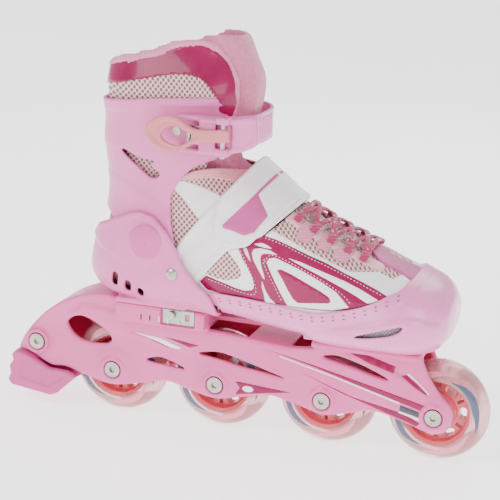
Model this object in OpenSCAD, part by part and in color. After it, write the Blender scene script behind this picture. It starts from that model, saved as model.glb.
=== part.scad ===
// Adjustable inline roller skate for the right foot: soft boot in plastic shells on a four-wheel frame.
// +X points to the toe, +Z up, -Y to the outer side. The origin is on the rolling plane, midway
// between the first and last axle. Millimetres throughout.

/* [Wheels] */
// Wheel diameter
wheel_d = 70; // [64:1:72]
// Wheel width
wheel_w = 24; // [22:0.5:24]
// Distance from one axle to the next
pitch = 77; // [75:0.5:80]
// Number of pairs of oval and square windows in each hub
hub_windows = 6; // [4:1:6]

/* [Frame] */
// Thickness of each side wall
wall_t = 4; // [3:0.5:5]
// Half of the frame's width over its side walls
frame_half_w = 19; // [18:0.5:20]
// Height of the rear platform, which carries the heel shell
rear_deck_z = 87.5; // [86:0.5:88]
// Height of the front platform, on which the toe shell slides
front_deck_z = 78; // [77:0.5:79]

/* [Boot] */
// Thickness of the hard shells
shell_t = 2.8; // [2:0.2:3.2]
// Thickness of the padded liner
liner_t = 4; // [3:0.5:5]
// Travel of the toe shell over its four sizes
size_travel = 25.4; // [16:0.1:25.4]

/* [Hidden] */
$fn = 48;

// Axles
axle_z = wheel_d / 2;
axle_x = [for (i = [0:3]) (i - 1.5) * pitch];
head_y = 22;              // where the bolt heads lie, from the middle plane
brake_at = [-174.5, 48];  // brake bolt, x and z

// 608 bearing
brg_od = 22;
brg_id = 8;
brg_w = 7;
ball_r = 1.98;
ball_ring_r = 7.5;
ball_n = 7;

// Joint places
pivot = [-83, 0, 138];          // cuff hinge, across the ankle
lever_at = [-27.5, -55.2, 216]; // buckle lever hinge
pawl_at = [-51, -53, 216];      // pawl hinge
gap = 0.35;                     // running gap between bodies
deck_bolt_x = [-104, -66];
deck_bolt_y = [-10, 10];
toe_bolt_x = [40, 74];
button = [-70.5, 82.9];         // size button, x and z
size_step = size_travel / 3;

// ---------- curves and lofts ----------

// A point on a Catmull-Rom spline through list p at parameter u, one unit per span.
function catmull(p, u) = let (
    n = len(p), i = min(floor(u), n - 2), t = u - i,
    a = p[max(i - 1, 0)], b = p[i], c = p[i + 1], d = p[min(i + 2, n - 1)])
    0.5 * (2 * b + (c - a) * t + (2 * a - 5 * b + 4 * c - d) * t * t + (3 * b - a - 3 * c + d) * t * t * t);

// The same through a closed list, k points per span.
function closed_curve(p, k) = let (n = len(p)) [for (i = [0:n - 1], j = [0:k - 1]) let (
    t = j / k, a = p[(i + n - 1) % n], b = p[i], c = p[(i + 1) % n], d = p[(i + 2) % n])
    0.5 * (2 * b + (c - a) * t + (2 * a - 5 * b + 4 * c - d) * t * t + (3 * b - a - 3 * c + d) * t * t * t)];

function open_curve(p, k) = [for (i = [0:(len(p) - 1) * k]) catmull(p, i / k)];

// x to the power n that keeps its sign
function spow(x, n) = sign(x) * pow(abs(x), n);

// Solid through a list of rings of equal length, closed at both ends.
module loft(rings) {
    m = len(rings[0]);
    n = len(rings);
    polyhedron(
        points = [for (r = rings, p = r) p],
        faces = [
            [for (j = [m - 1:-1:0]) j],
            for (i = [0:n - 2], j = [0:m - 1]) let (k = (j + 1) % m)
                each [[i * m + j, i * m + k, (i + 1) * m + k], [i * m + j, (i + 1) * m + k, (i + 1) * m + j]],
            [for (j = [0:m - 1]) (n - 1) * m + j]
        ]);
}

// Slab across the skate: an outline in x and z, from y0 to y1.
module across(outline, y0, y1) {
    translate([0, y1, 0]) rotate([90, 0, 0]) linear_extrude(y1 - y0) polygon(outline);
}

// Hollow solid between outer and inner rings, closed at its first end if a cap is asked for.
module loft_skin(outer, inner, cap) {
    m = len(outer[0]);
    n = len(outer);
    function out(i, j) = i * m + j % m;
    function inn(i, j) = (n + i) * m + j % m;
    polyhedron(
        points = [for (r = outer, p = r) p, for (r = inner, p = r) p],
        faces = [
            for (i = [0:n - 2], j = [0:m - 1]) each [
                [out(i, j), out(i, j + 1), out(i + 1, j + 1)], [out(i, j), out(i + 1, j + 1), out(i + 1, j)],
                [inn(i, j), inn(i + 1, j + 1), inn(i, j + 1)], [inn(i, j), inn(i + 1, j), inn(i + 1, j + 1)]],
            for (j = [0:m - 1]) each [
                [out(n - 1, j), out(n - 1, j + 1), inn(n - 1, j + 1)], [out(n - 1, j), inn(n - 1, j + 1), inn(n - 1, j)]],
            if (cap) each [[for (j = [m - 1:-1:0]) out(0, j)], [for (j = [0:m - 1]) inn(0, j)]]
            else for (j = [0:m - 1]) each [
                [out(0, j + 1), out(0, j), inn(0, j)], [out(0, j + 1), inn(0, j), inn(0, j + 1)]]
        ]);
}

// Round bar across the skate at x, z.
module bar(x, z, r, y0, y1) {
    translate([x, y1, z]) rotate([90, 0, 0]) cylinder(r = r, h = y1 - y0);
}

// ---------- the foot's surface ----------

// Rings from toe to collar. Each is [x, z of its sole or back point, x, z of its top or front point,
// half width, squareness above, squareness below].
foot = [
    [119.2, 97, 119.8, 107, 12, 2, 2], [117, 88.5, 118, 113.5, 25, 2.2, 2.6], [108.6, 84.5, 110.6, 121.5, 36, 2.3, 3],
    [95, 83, 98, 127, 43, 2.3, 3.2], [72, 83, 77, 135.5, 46, 2.3, 3.4], [48, 83, 54, 144.5, 46, 2.3, 3.6],
    [24, 85, 32, 154, 44.5, 2.3, 3.6], [0, 87, 12, 166, 42, 2.3, 3.6], [-25, 90, -6, 180, 40.5, 2.3, 3.6],
    [-55, 92.5, -17, 188, 39.5, 2.3, 3.6], [-90, 94.5, -25, 192, 37.5, 2.3, 3.4], [-117, 97, -29, 195, 36, 2.2, 3],
    [-129, 106, -30, 197, 35, 2.2, 2.8], [-129, 122, -31, 199, 35, 2.2, 2.6], [-124, 147, -31, 202, 36, 2.2, 2.4],
    [-121, 170, -30, 207, 38.5, 2.3, 2.4], [-124.5, 195, -29.5, 215, 41, 2.4, 2.4], [-124, 220, -29, 229, 43, 2.4, 2.4],
    [-125.5, 240, -31, 248, 44, 2.4, 2.4], [-124.5, 254, -38, 266, 43.5, 2.3, 2.3]];

// One ring of the surface, moved outward by off, with m points.
function foot_ring(t, off, m) = let (
    q = catmull(foot, t), a = [q[0], q[1]], b = [q[2], q[3]],
    c = (a + b) / 2, h = norm(b - a) / 2, d = (b - a) / (2 * h))
    [for (j = [0:m - 1]) let (
        th = -360 * j / m, e = 2 / (cos(th) > 0 ? q[5] : q[6]), u = spow(cos(th), e), v = spow(sin(th), e),
        p = c + d * (h + off) * u)
        [p[0] + off * max(0, 1 - t), (q[4] + off) * v, p[1]]];

// Stations and points round each ring are the same for every layer, so that layers nest.
ring_points = 28;
station_step = 0.5;
function stations(t0, t1) = [for (i = [0:round((t1 - t0) / station_step)]) t0 + i * station_step];

// Solid inside the surface between two stations.
module foot_solid(t0, t1, off) {
    loft([for (t = stations(t0, t1)) foot_ring(t, off, ring_points)]);
}

// Hollow skin between two offsets of the surface; at station 0 it closes over the toe.
module skin(t0, t1, off_in, off_out) {
    loft_skin([for (t = stations(t0, t1)) foot_ring(t, off_out, ring_points)],
        [for (t = stations(t0, t1)) foot_ring(t, off_in, ring_points)], t0 == 0);
}

// Half space cutter: everything with x, z inside an outline, across the full width.
module cut(outline, y0 = -80, y1 = 80) { across(outline, y0, y1); }

// ---------- frame ----------

// Lower edge of the frame's side wall, from heel to toe: it dips round each axle.
frame_low = [[-190, 41], [-179, 38], [-165, 31], [-152, 31], [-136, 26.5], [-117, 23.5], [-97, 26.5], [-76, 31.5],
    [-57, 27.5], [-38, 25], [-18, 28.5], [0, 32.5], [20, 29], [40, 25.5], [56, 28], [73, 32.5], [90, 29.5], [105, 25.5]];
frame_nose = [[115, 22.5], [124, 26], [128, 34], [126.5, 43], [119, 50.5], [111, 61], [106, 71]];
frame_top = [[104.5, front_deck_z], [36, front_deck_z], [30, 71.5], [14, 70], [-17, 72], [-45, 74], [-46, 75]];
frame_back = [[-112, 75], [-113, rear_deck_z], [-134, 88], [-152, 82], [-166, 73], [-178, 61], [-186, 50]];

window_oval = [[-152, 64], [-145, 70.5], [-136, 70.5], [-124, 64.5], [-117.5, 57], [-121, 53], [-134, 52], [-145, 55]];
window_small = [[-91, 44.8], [-83, 48.3], [-74, 47.3], [-61, 42.2], [-76, 43]];
window_mid = [[-52, 55.5], [-43, 58.3], [-33, 58.5], [-14, 54], [11, 46.8], [-5, 48.6], [-21, 50.3], [-36, 53]];
window_front = [[37, 66.5], [44, 68.4], [51, 68], [67, 63.7], [84, 56.5], [72, 58], [60, 61.3], [48, 63.8]];

module frame_outline() {
    polygon(concat(open_curve(frame_low, 4), open_curve(frame_nose, 4), frame_top, open_curve(frame_back, 3)));
}

// The channel between the side walls, open below and at both ends of the decks.
channel = concat([[-200, -10], [-200, 45], [-192, 45], [-180, 52]], [[-171, 61], [-160, 70.5], [-148, 77], [-132, 82.5], [-112, 82.5],
    [-112, 74], [-46, 74], [-46, 95], [-17, 95], [-17, 67], [14, 67], [14, 95], [30, 95], [30, 73.5], [104.4, 73.5],
    [104.4, 95], [140, 95], [140, -10]]);

module frame() {
    inner = frame_half_w - wall_t;
    color("#eab3cf") difference() {
        union() {
            difference() {
                rotate([90, 0, 0]) linear_extrude(2 * frame_half_w, center = true) frame_outline();
                across(channel, -inner, inner);
                for (w = [window_oval, window_small, window_mid, window_front]) across(closed_curve(w, 4), -30, 30);
            }
            // axle bosses, inside to the bearings and outside to the bolt heads
            for (x = axle_x) for (s = [0, 1]) mirror([0, s, 0]) {
                bar(x, axle_z, 6, -inner - 1, -wheel_w / 2);
                bar(x, axle_z, 9, -head_y, -inner - 1);
            }
            for (s = [0, 1]) mirror([0, s, 0]) bar(brake_at[0], brake_at[1], 9, -head_y, -inner - 1);
            // rear platform and front deck
            difference() {
                translate([-112, -27, 74]) cube([66, 54, rear_deck_z - 74]);
                translate([-78, -28, 75.4]) cube([25, 5, 11.6]);
            }
            translate([30, -25, 73.5]) cube([74.4, 50, front_deck_z - 73.5]);
        }
        for (x = axle_x) {
            bar(x, axle_z, 4.05, -30, 30);
            for (s = [0, 1]) mirror([0, s, 0]) bar(x, axle_z, 6.4, -head_y - 1, -head_y + 3.2);
        }
        bar(brake_at[0], brake_at[1], 3.05, -30, 30);
        for (s = [0, 1]) mirror([0, s, 0]) bar(brake_at[0], brake_at[1], 6.4, -head_y - 1, -head_y + 3.2);
        // holes for the heel shell's bolts
        for (x = deck_bolt_x, y = deck_bolt_y) translate([x, y, 70]) cylinder(r = 2.55, h = 30);
        // slots in which the toe shell's bolts slide
        for (x = toe_bolt_x) {
            translate([x, -2.9, 70]) cube([size_travel, 5.8, 20]);
            for (d = [0, size_travel]) translate([x + d, 0, 70]) cylinder(r = 2.9, h = 20);
        }
        // tunnel of the size rail, with the button's bore and the pocket of its catch
        translate([-106, -7.4, 78]) cube([80, 14.8, 3.6]);
        bar(button[0], button[1], 1.5, -30, 13);
        bar(button[0], button[1], 3.3, -30, -15);
        translate([button[0] - 3.4, 7, 78]) cube([6.8, 5.6, 7.5]);
    }
}

module brake_pad() {
    outer = [[-191, 39.2], [-194, 36], [-193, 31], [-196, 27], [-195, 21], [-197, 16], [-194, 12.4], [-163, 8.6],
        [-158, 11], [-143, 25.5], [-151, 28.6], [-165, 29], [-179, 36], [-190, 39.2]];
    hollow = [[-186, 34], [-187, 18], [-163, 14.8], [-155, 5], [-125, 5], [-125, 40], [-164, 40], [-178, 33]];
    color("#e29cc4") difference() {
        union() {
            across(outer, -23, 23);
            // tang held between the walls by the brake bolt
            across([[-185, 34], [-168, 34], [-168, 54], [-177, 54], [-181, 50]], -14.6, 14.6);
        }
        across(hollow, -18, 18);
        bar(brake_at[0], brake_at[1], 3.05, -30, 30);
    }
}

// ---------- fasteners ----------

// Button-head screw across the skate, its head at y0, with a six-sided socket.
module side_screw(x, z, r, y0, y1, head_r = 5.6) {
    difference() {
        union() {
            bar(x, z, head_r, y0, y0 + 2.6);
            bar(x, z, r, y0 + 2.5, y1);
        }
        translate([x, y0 + 1.8, z]) rotate([90, 0, 0]) cylinder(r = 2.5, h = 5, $fn = 6);
    }
}

module brake_bolt() {
    color("silver") {
        side_screw(brake_at[0], brake_at[1], 3, -head_y + 0.5, 18.9);
        difference() {
            bar(brake_at[0], brake_at[1], 5.6, 18.9, head_y - 0.5);
            bar(brake_at[0], brake_at[1], 3, 18, 20.4);
        }
    }
}

module axle_screws() {
    color("silver") for (x = axle_x) side_screw(x, axle_z, 2.9, -head_y + 0.5, 8);
}

module axle_barrels() {
    color("gray") for (x = axle_x) difference() {
        union() {
            bar(x, axle_z, 4, -head_y + 3.2, head_y - 3);
            bar(x, axle_z, 5.6, head_y - 3.1, head_y - 0.5);
        }
        bar(x, axle_z, 2.9, -head_y, 8.5);
        translate([x, head_y + 1, axle_z]) rotate([90, 0, 0]) cylinder(r = 2.5, h = 3.5, $fn = 6);
    }
}

module ring_bar(x, z, r_out, r_in, y0, y1) {
    difference() {
        bar(x, z, r_out, y0, y1);
        bar(x, z, r_in, y0 - 1, y1 + 1);
    }
}

module bearing_spacers() {
    color("silver") for (x = axle_x) ring_bar(x, axle_z, 5.2, 4.05, -wheel_w / 2 + brg_w, wheel_w / 2 - brg_w);
}

module deck_bolts() {
    color("silver") for (x = deck_bolt_x, y = deck_bolt_y) translate([x, y, 0]) {
        translate([0, 0, 71.4]) cylinder(r = 4, h = 2.6, $fn = 6);
        translate([0, 0, 73]) cylinder(r = 2.5, h = 19);
        translate([0, 0, 91]) cylinder(r = 4.5, h = 2);
    }
}

module toe_bolts() {
    color("silver") for (x = toe_bolt_x) translate([x, 0, 0]) {
        translate([0, 0, 71.1]) cylinder(r = 5.4, h = 2, $fn = 6);
        translate([0, 0, 72]) cylinder(r = 2.5, h = 12);
        translate([0, 0, 82.8]) cylinder(r = 4.5, h = 2.2);
    }
}

// ---------- bearings and wheels ----------

module race(x, y, r_out, r_in) {
    difference() {
        ring_bar(x, axle_z, r_out, r_in, y - brg_w / 2, y + brg_w / 2);
        translate([x, y, axle_z]) rotate([90, 0, 0]) rotate_extrude() translate([ball_ring_r, 0]) circle(r = ball_r + 0.05);
    }
}

module bearing_inner_races() {
    color("silver") for (x = axle_x, s = [-1, 1])
        race(x, s * (wheel_w - brg_w) / 2, 6, brg_id / 2 + 0.02);
}

module outer_races(i) {
    color("silver") for (s = [-1, 1]) race(axle_x[i], s * (wheel_w - brg_w) / 2, brg_od / 2, 9);
}

module balls(i) {
    color("gray") for (s = [-1, 1], k = [0:ball_n - 1]) let (a = 360 * k / ball_n)
        translate([axle_x[i] + ball_ring_r * cos(a), s * (wheel_w - brg_w) / 2, axle_z + ball_ring_r * sin(a)])
            sphere(r = ball_r);
}

module tyre(i) {
    crown = wheel_w / 2;
    color("#f3cfcf") translate([axle_x[i], 0, axle_z]) rotate([90, 0, 0]) rotate_extrude($fn = 96) intersection() {
        translate([wheel_d / 2 - crown, 0]) circle(r = crown);
        translate([23, -crown]) square([20, 2 * crown]);
    }
}

module hub(i) {
    color("#e88f98") translate([axle_x[i], 0, axle_z]) rotate([90, 0, 0]) difference() {
        rotate_extrude($fn = 96) polygon([[10, -12], [13, -12], [13.4, -5], [20.6, -4], [21, -9], [23, -10],
            [23, 10], [21, 9], [20.6, 4], [13.4, 5], [13, 12], [10, 12]]);
        translate([0, 0, 5]) cylinder(r = brg_od / 2, h = 10);
        translate([0, 0, -15]) cylinder(r = brg_od / 2, h = 10);
        cylinder(r = 10.2, h = 30, center = true);
        for (k = [0:hub_windows - 1]) {
            rotate(k * 360 / hub_windows) translate([17.1, 0]) {
                for (s = [-1, 1]) translate([0, s * 1.9]) cylinder(r = 2.6, h = 12, center = true);
                cube([5.2, 3.8, 12], center = true);
            }
            rotate((k + 0.5) * 360 / hub_windows) translate([17.1, 0]) cube([4.6, 2.6, 12], center = true);
        }
    }
}

// ---------- size adjustment ----------

// Rail that runs back from the toe shell through the frame's tunnel, notched once for each size.
module size_rail() {
    color("#d77fae") difference() {
        translate([-102, -7, front_deck_z + gap]) cube([126, 14, 3]);
        for (k = [0:3]) translate([button[0] - k * size_step, 7, 70]) rotate(45) cube([3, 3, 30], center = false);
        translate([-30, -3, 70]) cube([36, 6, 20]);
    }
}

module size_clip() {
    color("#b9c2b4") for (z = [77.8, 85]) bar(-64.8, z, 1.2, -24.9, -24.1);
    color("#b9c2b4") difference() {
        translate([-77, -24.2, 76.4]) cube([23, 1.2, 10]);
        translate([-60.6, -26, 79.4]) cube([3.4, 4, 4.6]);
        bar(button[0], button[1], 3, -30, -20);
    }
}

// Push button: its stem passes over the rail to a catch plate beside the notches.
module size_button() {
    color("silver") {
        bar(button[0], button[1], 2.8, -27.2, -21.2);
        bar(button[0], button[1], 1.3, -21.3, 8);
        translate([button[0] - 2.4, 7.4, 78.4]) cube([4.3, 1.4, 6.2]);
    }
}

module button_spring() {
    color("gray") ring_bar(button[0], button[1], 2.6, 1.9, -21.1, -15.1);
}

// ---------- boot: outlines in x and z ----------

heel_front = [[-34.8, 87.5], [-34.3, 95.2], [-37.5, 105.3], [-46.4, 114], [-55.3, 124], [-62, 136.4]];
heel_arch = [[-68.1, 145.4], [-74, 150.9], [-79.2, 155.2], [-86.5, 157.1], [-93.7, 157], [-107.5, 151.3],
    [-125, 143], [-131, 137], [-150, 130]];
cuff_front = [[-64, 138], [-66, 145], [-69, 160.5], [-68, 171], [-62, 181.7], [-51.7, 191.6], [-31.9, 201], [-22.8, 230],
    [-27, 237]];
cuff_top = [[-38, 238], [-55, 238], [-83, 235.6], [-104.4, 232.7], [-150, 227]];
cuff_low = [[-150, 158], [-126, 155.5], [-112, 149], [-104, 138], [-98, 127.5], [-88, 123], [-77, 124], [-69, 129]];
shell_top = [[-66, 104], [-34.8, 107.3], [0.3, 106.7], [32, 105], [46.7, 107.2], [60.6, 111], [72.9, 115.8], [83.7, 121.6],
    [92, 126], [104, 140], [135, 140]];
strap_back = [[-66, 111], [-64, 134], [-60.5, 139.6], [-49.8, 154.5], [-38.5, 167.5], [-26.6, 181.9], [-18.7, 193.2],
    [-8, 205]];
strap_front = [[26, 182], [18, 171.5], [-3.6, 150], [-26.7, 137.5], [-45, 116], [-48, 111]];

// ---------- boot: hard shells ----------

module heel_shell() {
    color("#dfa9c8") difference() {
        union() {
            intersection() {
                skin(7.5, 14.5, 3.5, 3.5 + shell_t);
                cut(concat(heel_front, heel_arch, [[-150, 87.5]]));
            }
            // flat foot that stands on the rear platform
            translate([-112, -27, rear_deck_z]) cube([52, 54, 91 - rear_deck_z]);
            for (s = [0, 1]) mirror([0, s, 0]) bar(pivot[0], pivot[2], 13, -43, -40.4);
        }
        for (v = [[-109, 106.8, 9.5], [-99.4, 103, 7.5], [-90.4, 99.2, 5.5]]) translate([v[0], 0, v[1]]) rotate([0, 15, 0])
            cube([4.2, 120, v[2]], center = true);
        bar(pivot[0], pivot[2], 5.1, -60, 60);
        bar(pivot[0], pivot[2], 8.5, -38.45, 38.45);
        bar(-63.8, 118, 2.1, -60, 60);
        for (x = deck_bolt_x, y = deck_bolt_y) translate([x, y, 80]) {
            cylinder(r = 2.55, h = 20);
            translate([0, 0, 11]) cylinder(r = 4.6, h = 6);
        }
    }
}

module toe_shell() {
    color("#e9bdd4") difference() {
        union() {
            intersection() {
                skin(0, 9.5, 0.3, 0.3 + shell_t);
                cut(concat(shell_top, [[135, 70], [-32.5, 70], [-32.5, 96], [-66, 97]]));
            }
            translate([24, -24, front_deck_z + gap]) cube([78, 48, 3.2]);
        }
        for (s = [0, 1]) mirror([0, s, 0]) across([[64.8, 93.5], [74.5, 97.2], [84.2, 100.4], [95.2, 103.6], [94, 100.7],
            [88, 97], [77, 94.3], [68, 92.8]], -60, -30);
        for (x = toe_bolt_x) translate([x, 0, 70]) {
            cylinder(r = 2.55, h = 30);
            translate([0, 0, 12.75]) cylinder(r = 4.6, h = 6);
        }
    }
}

module cuff() {
    color("#dfa6c7") difference() {
        intersection() {
            skin(10, 18.5, 0.4, 0.4 + shell_t);
            cut(concat(cuff_front, cuff_top, cuff_low));
        }
        bar(pivot[0], pivot[2], 8.05, -60, 60);
        bar(pivot[0], pivot[2], 9.4, -35.45, 35.45);
        // open in front, round the tongue
        across([[-60, 180], [0, 180], [0, 290], [-60, 290]], -27, 27);
        for (s = [0, 1]) mirror([0, s, 0]) across([[-103.7, 197.2], [-101, 199], [-80.5, 193], [-77, 189], [-76.9, 184],
            [-80, 181.6], [-84, 182.4], [-92.8, 189]], -60, -20);
        for (p = base_rivets) bar(p[0], p[1], 1.8, -60, 0);
        bar(ladder_end[0], ladder_end[1], 2.1, 0, 60);
    }
}

module cuff_bushes() {
    color("#f0f0f0") for (s = [0, 1]) mirror([0, s, 0]) ring_bar(pivot[0], pivot[2], 8, 5.05, -38.3, -36.6);
}

module pivot_rivets() {
    color("silver") for (s = [0, 1]) mirror([0, s, 0]) {
        bar(pivot[0], pivot[2], 5, -43, -35.1);
        bar(pivot[0], pivot[2], 9, -35.2, -34.2);
    }
}

module pivot_caps() {
    color("#d98fba") for (s = [0, 1]) mirror([0, s, 0]) translate([pivot[0], -43, pivot[2]]) rotate([90, 0, 0])
        rotate_extrude() polygon([[0, 0], [12, 0], [12, 1], [11, 1.9], [6, 2.6], [0, 2.8]]);
}

module strap_rivets() {
    color("silver") for (s = [0, 1]) mirror([0, s, 0]) {
        bar(-63.8, 118, 2, -44.5, -37.6);
        translate([-63.8, -44.3, 118]) rotate([90, 0, 0]) rotate_extrude() polygon([[0, 0], [4.3, 0], [3.9, 1], [2.6, 1.9],
            [0, 2.3]]);
    }
}

// ---------- boot: soft parts ----------

module footbed() {
    color("#c95b7c") intersection() {
        foot_solid(6.5, 12.5, -8);
        translate([-140, -60, 80]) cube([165, 120, 26]);
    }
}

module toe_footbed() {
    color("#c95b7c") intersection() {
        foot_solid(0.5, 6.5, -3.4);
        translate([20, -60, 80]) cube([120, 120, 10]);
    }
}

// Thick padding round the heel.
module heel_liner() {
    color("#e7b3c5") difference() {
        intersection() {
            skin(9, 14.5, -4.2, -0.2);
            cut([[-60, 96], [-60, 104], [-76, 128], [-84, 144], [-100, 146.5], [-116, 147.6], [-150, 149.5], [-150, 96]]);
        }
        for (s = [0, 1]) mirror([0, s, 0]) {
            bar(pivot[0], pivot[2], 9.4, -45, -33.9);
            bar(-63.8, 118, 3, -45, -37.3);
        }
    }
}

// Thin sock that keeps the boot closed as the toe slides out.
module inner_boot() {
    color("#e7b3c5") intersection() {
        skin(6, 13.5, -7.4, -4.6);
        cut([[-34, 80], [-33.4, 104], [-14, 114], [4, 124], [10, 130], [8, 143], [-30, 178], [-46, 176], [-60, 158],
            [-70, 148], [-84, 144], [-100, 149], [-116, 151], [-150, 152], [-150, 80]]);
    }
}

module quarter() {
    color("#e6c3c8") intersection() {
        skin(5, 12, -2.6, -0.2);
        cut([[8, 170], [1, 158.5], [-8, 149], [-27, 139.5], [-44, 139.5], [-58, 141], [-60, 150], [-56, 164], [-45, 176.5],
            [-32, 184.5], [-21, 190], [-14, 186]]);
    }
}

module toe_upper() {
    color("#e6c3c8") difference() {
        intersection() {
            skin(0, 9.5, -2.6, -0.2);
            cut([[-58, 96.4], [-58, 137.5], [-44, 138.5], [-26, 138.5], [-8, 146.5], [-2.6, 150.4], [6.2, 158.6], [17, 170.5], [135, 175],
                [135, 82], [30, 82], [-12, 96.4]]);
        }
        for (x = toe_bolt_x) translate([x, 0, 80]) cylinder(r = 5, h = 8);
        // throat for the tongue
        across([[5, 180], [13, 166], [24, 155], [44, 146], [70, 141], [90, 150], [90, 180]], -17, 17);
    }
}

module tongue_base() {
    color("#c2406a") intersection() {
        skin(3, 7.5, -5.6, -2.9);
        across([[9, 162], [9, 148], [40, 134], [92, 122], [92, 134], [60, 146], [26, 163]], -21, 21);
    }
}

module tongue_top() {
    color("#c2406a") intersection() {
        skin(15, 19, 0.6, 6.4);
        across([[-48, 212], [-10, 208], [-10, 270], [-52, 270]], -25, 25);
    }
}

module collar() {
    color("#d98e9f") difference() {
        skin(13, 19, -4.4, 0);
        // open in front, where the tongue lies
        across([[-60, 205], [0, 205], [0, 290], [-56, 290]], -26, 26);
        cut([[-150, 80], [-150, 158.5], [-128, 156.5], [-114, 152], [-96, 152.5], [-72, 160], [-62, 175], [-52, 188],
            [-32, 203], [0, 203], [0, 80]]);
        // room for the rivet ends
        for (p = base_rivets) bar(p[0], p[1], 3.5, -60, -p[2] + 1.2);
        bar(ladder_end[0], ladder_end[1], 3.5, 31.2, 60);
    }
}

// Strap that comes up from both rivets and crosses the instep.
module instep_strap() {
    color("#ececec") difference() {
        intersection() {
            skin(4.5, 11.5, 0.4, 2.4);
            cut(concat(strap_back, strap_front));
        }
        for (s = [0, 1]) mirror([0, s, 0]) bar(-63.8, 118, 2.1, -60, -20);
    }
}

// Free end of the strap, which peels up about the crest.
module strap_flap() {
    color("#ececec") intersection() {
        skin(4.5, 10.5, 2.8, 4.6);
        across([[-36, 149], [-30, 143], [-18.4, 141], [-3, 151], [24, 182], [-2, 206], [-14, 192], [-33.6, 172]], -60, -6);
    }
}

module flap_pad() {
    color("#d578a6") intersection() {
        skin(4.5, 10.5, 4.6, 6);
        across([[-35, 152.5], [-34.6, 148.6], [-29.4, 144.8], [-18.4, 143], [-10.6, 147], [-4.6, 152], [12, 170],
            [-13, 178], [-26, 172]], -60, -19);
    }
}

// ---------- laces ----------

// Eyelet and lace stations down the throat, x along the top line and half the spacing across it.
lace_x = [21, 33, 45, 57, 68];
lace_half = [17, 18, 19, 20, 20.5];
function top_z(x, y) = let (t = lookup(x, [[-6, 8], [12, 7], [32, 6], [54, 5], [77, 4], [98, 3]]), q = catmull(foot, t))
    q[1] + (q[3] - q[1]) / 2 + (q[3] - q[1]) / 2 * pow(1 - pow(abs(y) / q[4], q[5]), 1 / q[5]);

module lace_loops() {
    color("#b83b63") difference() {
        for (i = [0:len(lace_x) - 1], s = [-1, 1]) let (x = lace_x[i], y = s * (lace_half[i] + 3.7))
            translate([x, y, top_z(x, y) + 0.6]) rotate([s * -24, 26, 0]) difference() {
                cube([6, 7, 3.4], center = true);
                rotate([0, 90, 0]) cylinder(r = 1.2, h = 10, center = true);
            }
        foot_solid(2, 8, -0.15);
    }
}

module lace_run(a, b, lift) {
    steps = 8;
    loft([for (k = [0:steps]) let (f = k / steps, p = a + (b - a) * f, h = lift * sin(180 * f))
        [for (j = [0:7]) let (w = 45 * j) p + [1.9 * cos(w), 0, h + 0.75 * sin(w)]]]);
}

module laces() {
    color("#c98aa4") for (i = [0:len(lace_x) - 1]) let (x = lace_x[i], h = lace_half[i], z = top_z(x, h) + 2.6) {
        lace_run([x, -h, z], [x, h, z], top_z(x, 0) + 1.2 - z + i % 2);
    }
}

// ---------- buckle ----------

// Rivets that hold the buckle on the cuff: x, z and where they end inside it.
base_rivets = [[-62, 216, 40.1], [-46, 217, 32.8]];
ladder_end = [-46, 216];      // rivet of the ladder strap's fixed end, x and z

module buckle_base() {
    color("#e8aebb") difference() {
        union() {
            across([[-66, 203], [-35, 203], [-22, 205], [-8, 213], [-7, 229], [-21, 229], [-40, 229], [-66, 226]], -47, -44.6);
            for (p = base_rivets) bar(p[0], p[1], 4, -44.7, -p[2]);
        }
        // its feet follow the cuff
        foot_solid(15.5, 18.5, 0.45 + shell_t);
        // the ladder strap leaves through the front
        translate([-40, -50, 205.6]) cube([40, 8, 20.8]);
        for (p = base_rivets) bar(p[0], p[1], 1.75, -60, -30);
    }
}

module buckle_rivets() {
    color("silver") for (p = base_rivets) {
        bar(p[0], p[1], 1.7, -48, -p[2]);
        bar(p[0], p[1], 3, -48, -47);
        bar(p[0], p[1], 3, -p[2], -p[2] + 0.8);
    }
}

// The ladder strap's path seen from above: from the inner side of the cuff round the shin to the buckle.
ladder_path = open_curve([[-52, 46.4], [-38, 45.4], [-26, 37], [-18.6, 22], [-16.6, 4], [-17.2, -16], [-20, -32], [-24.6, -42],
    [-31, -48.6], [-40, -50.4]], 5);
ladder_t = 1.1;

function side_of(path, i, d) = let (
    a = path[max(i - 1, 0)], b = path[min(i + 1, len(path) - 1)], t = (b - a) / norm(b - a))
    path[i] + d * [-t[1], t[0]];

module ladder_strap() {
    n = len(ladder_path);
    color("#dfa6c7") difference() {
        union() {
            translate([0, 0, 206]) linear_extrude(20) polygon(concat(
                [for (i = [0:n - 1]) side_of(ladder_path, i, ladder_t)],
                [for (i = [n - 1:-1:0]) side_of(ladder_path, i, -ladder_t)]));
            // teeth that the pawl catches
            for (i = [24:2:40]) let (p = side_of(ladder_path, i, -ladder_t), q = side_of(ladder_path, i, 0) - p)
                translate([p[0], p[1], 208]) rotate(atan2(q[1], q[0])) translate([-0.9, -1, 0]) cube([1.4, 2, 16]);
        }
        bar(ladder_end[0], ladder_end[1], 2.1, 40, 60);
    }
}

module ladder_rivet() {
    color("silver") {
        bar(ladder_end[0], ladder_end[1], 2, 32, 50);
        bar(ladder_end[0], ladder_end[1], 4.2, 50, 51.4);
        // washer that holds the strap off the cuff, and the inner head
        bar(ladder_end[0], ladder_end[1], 3.4, 40.75, 44.6);
        bar(ladder_end[0], ladder_end[1], 3, 31.6, 32.5);
    }
}

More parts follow.
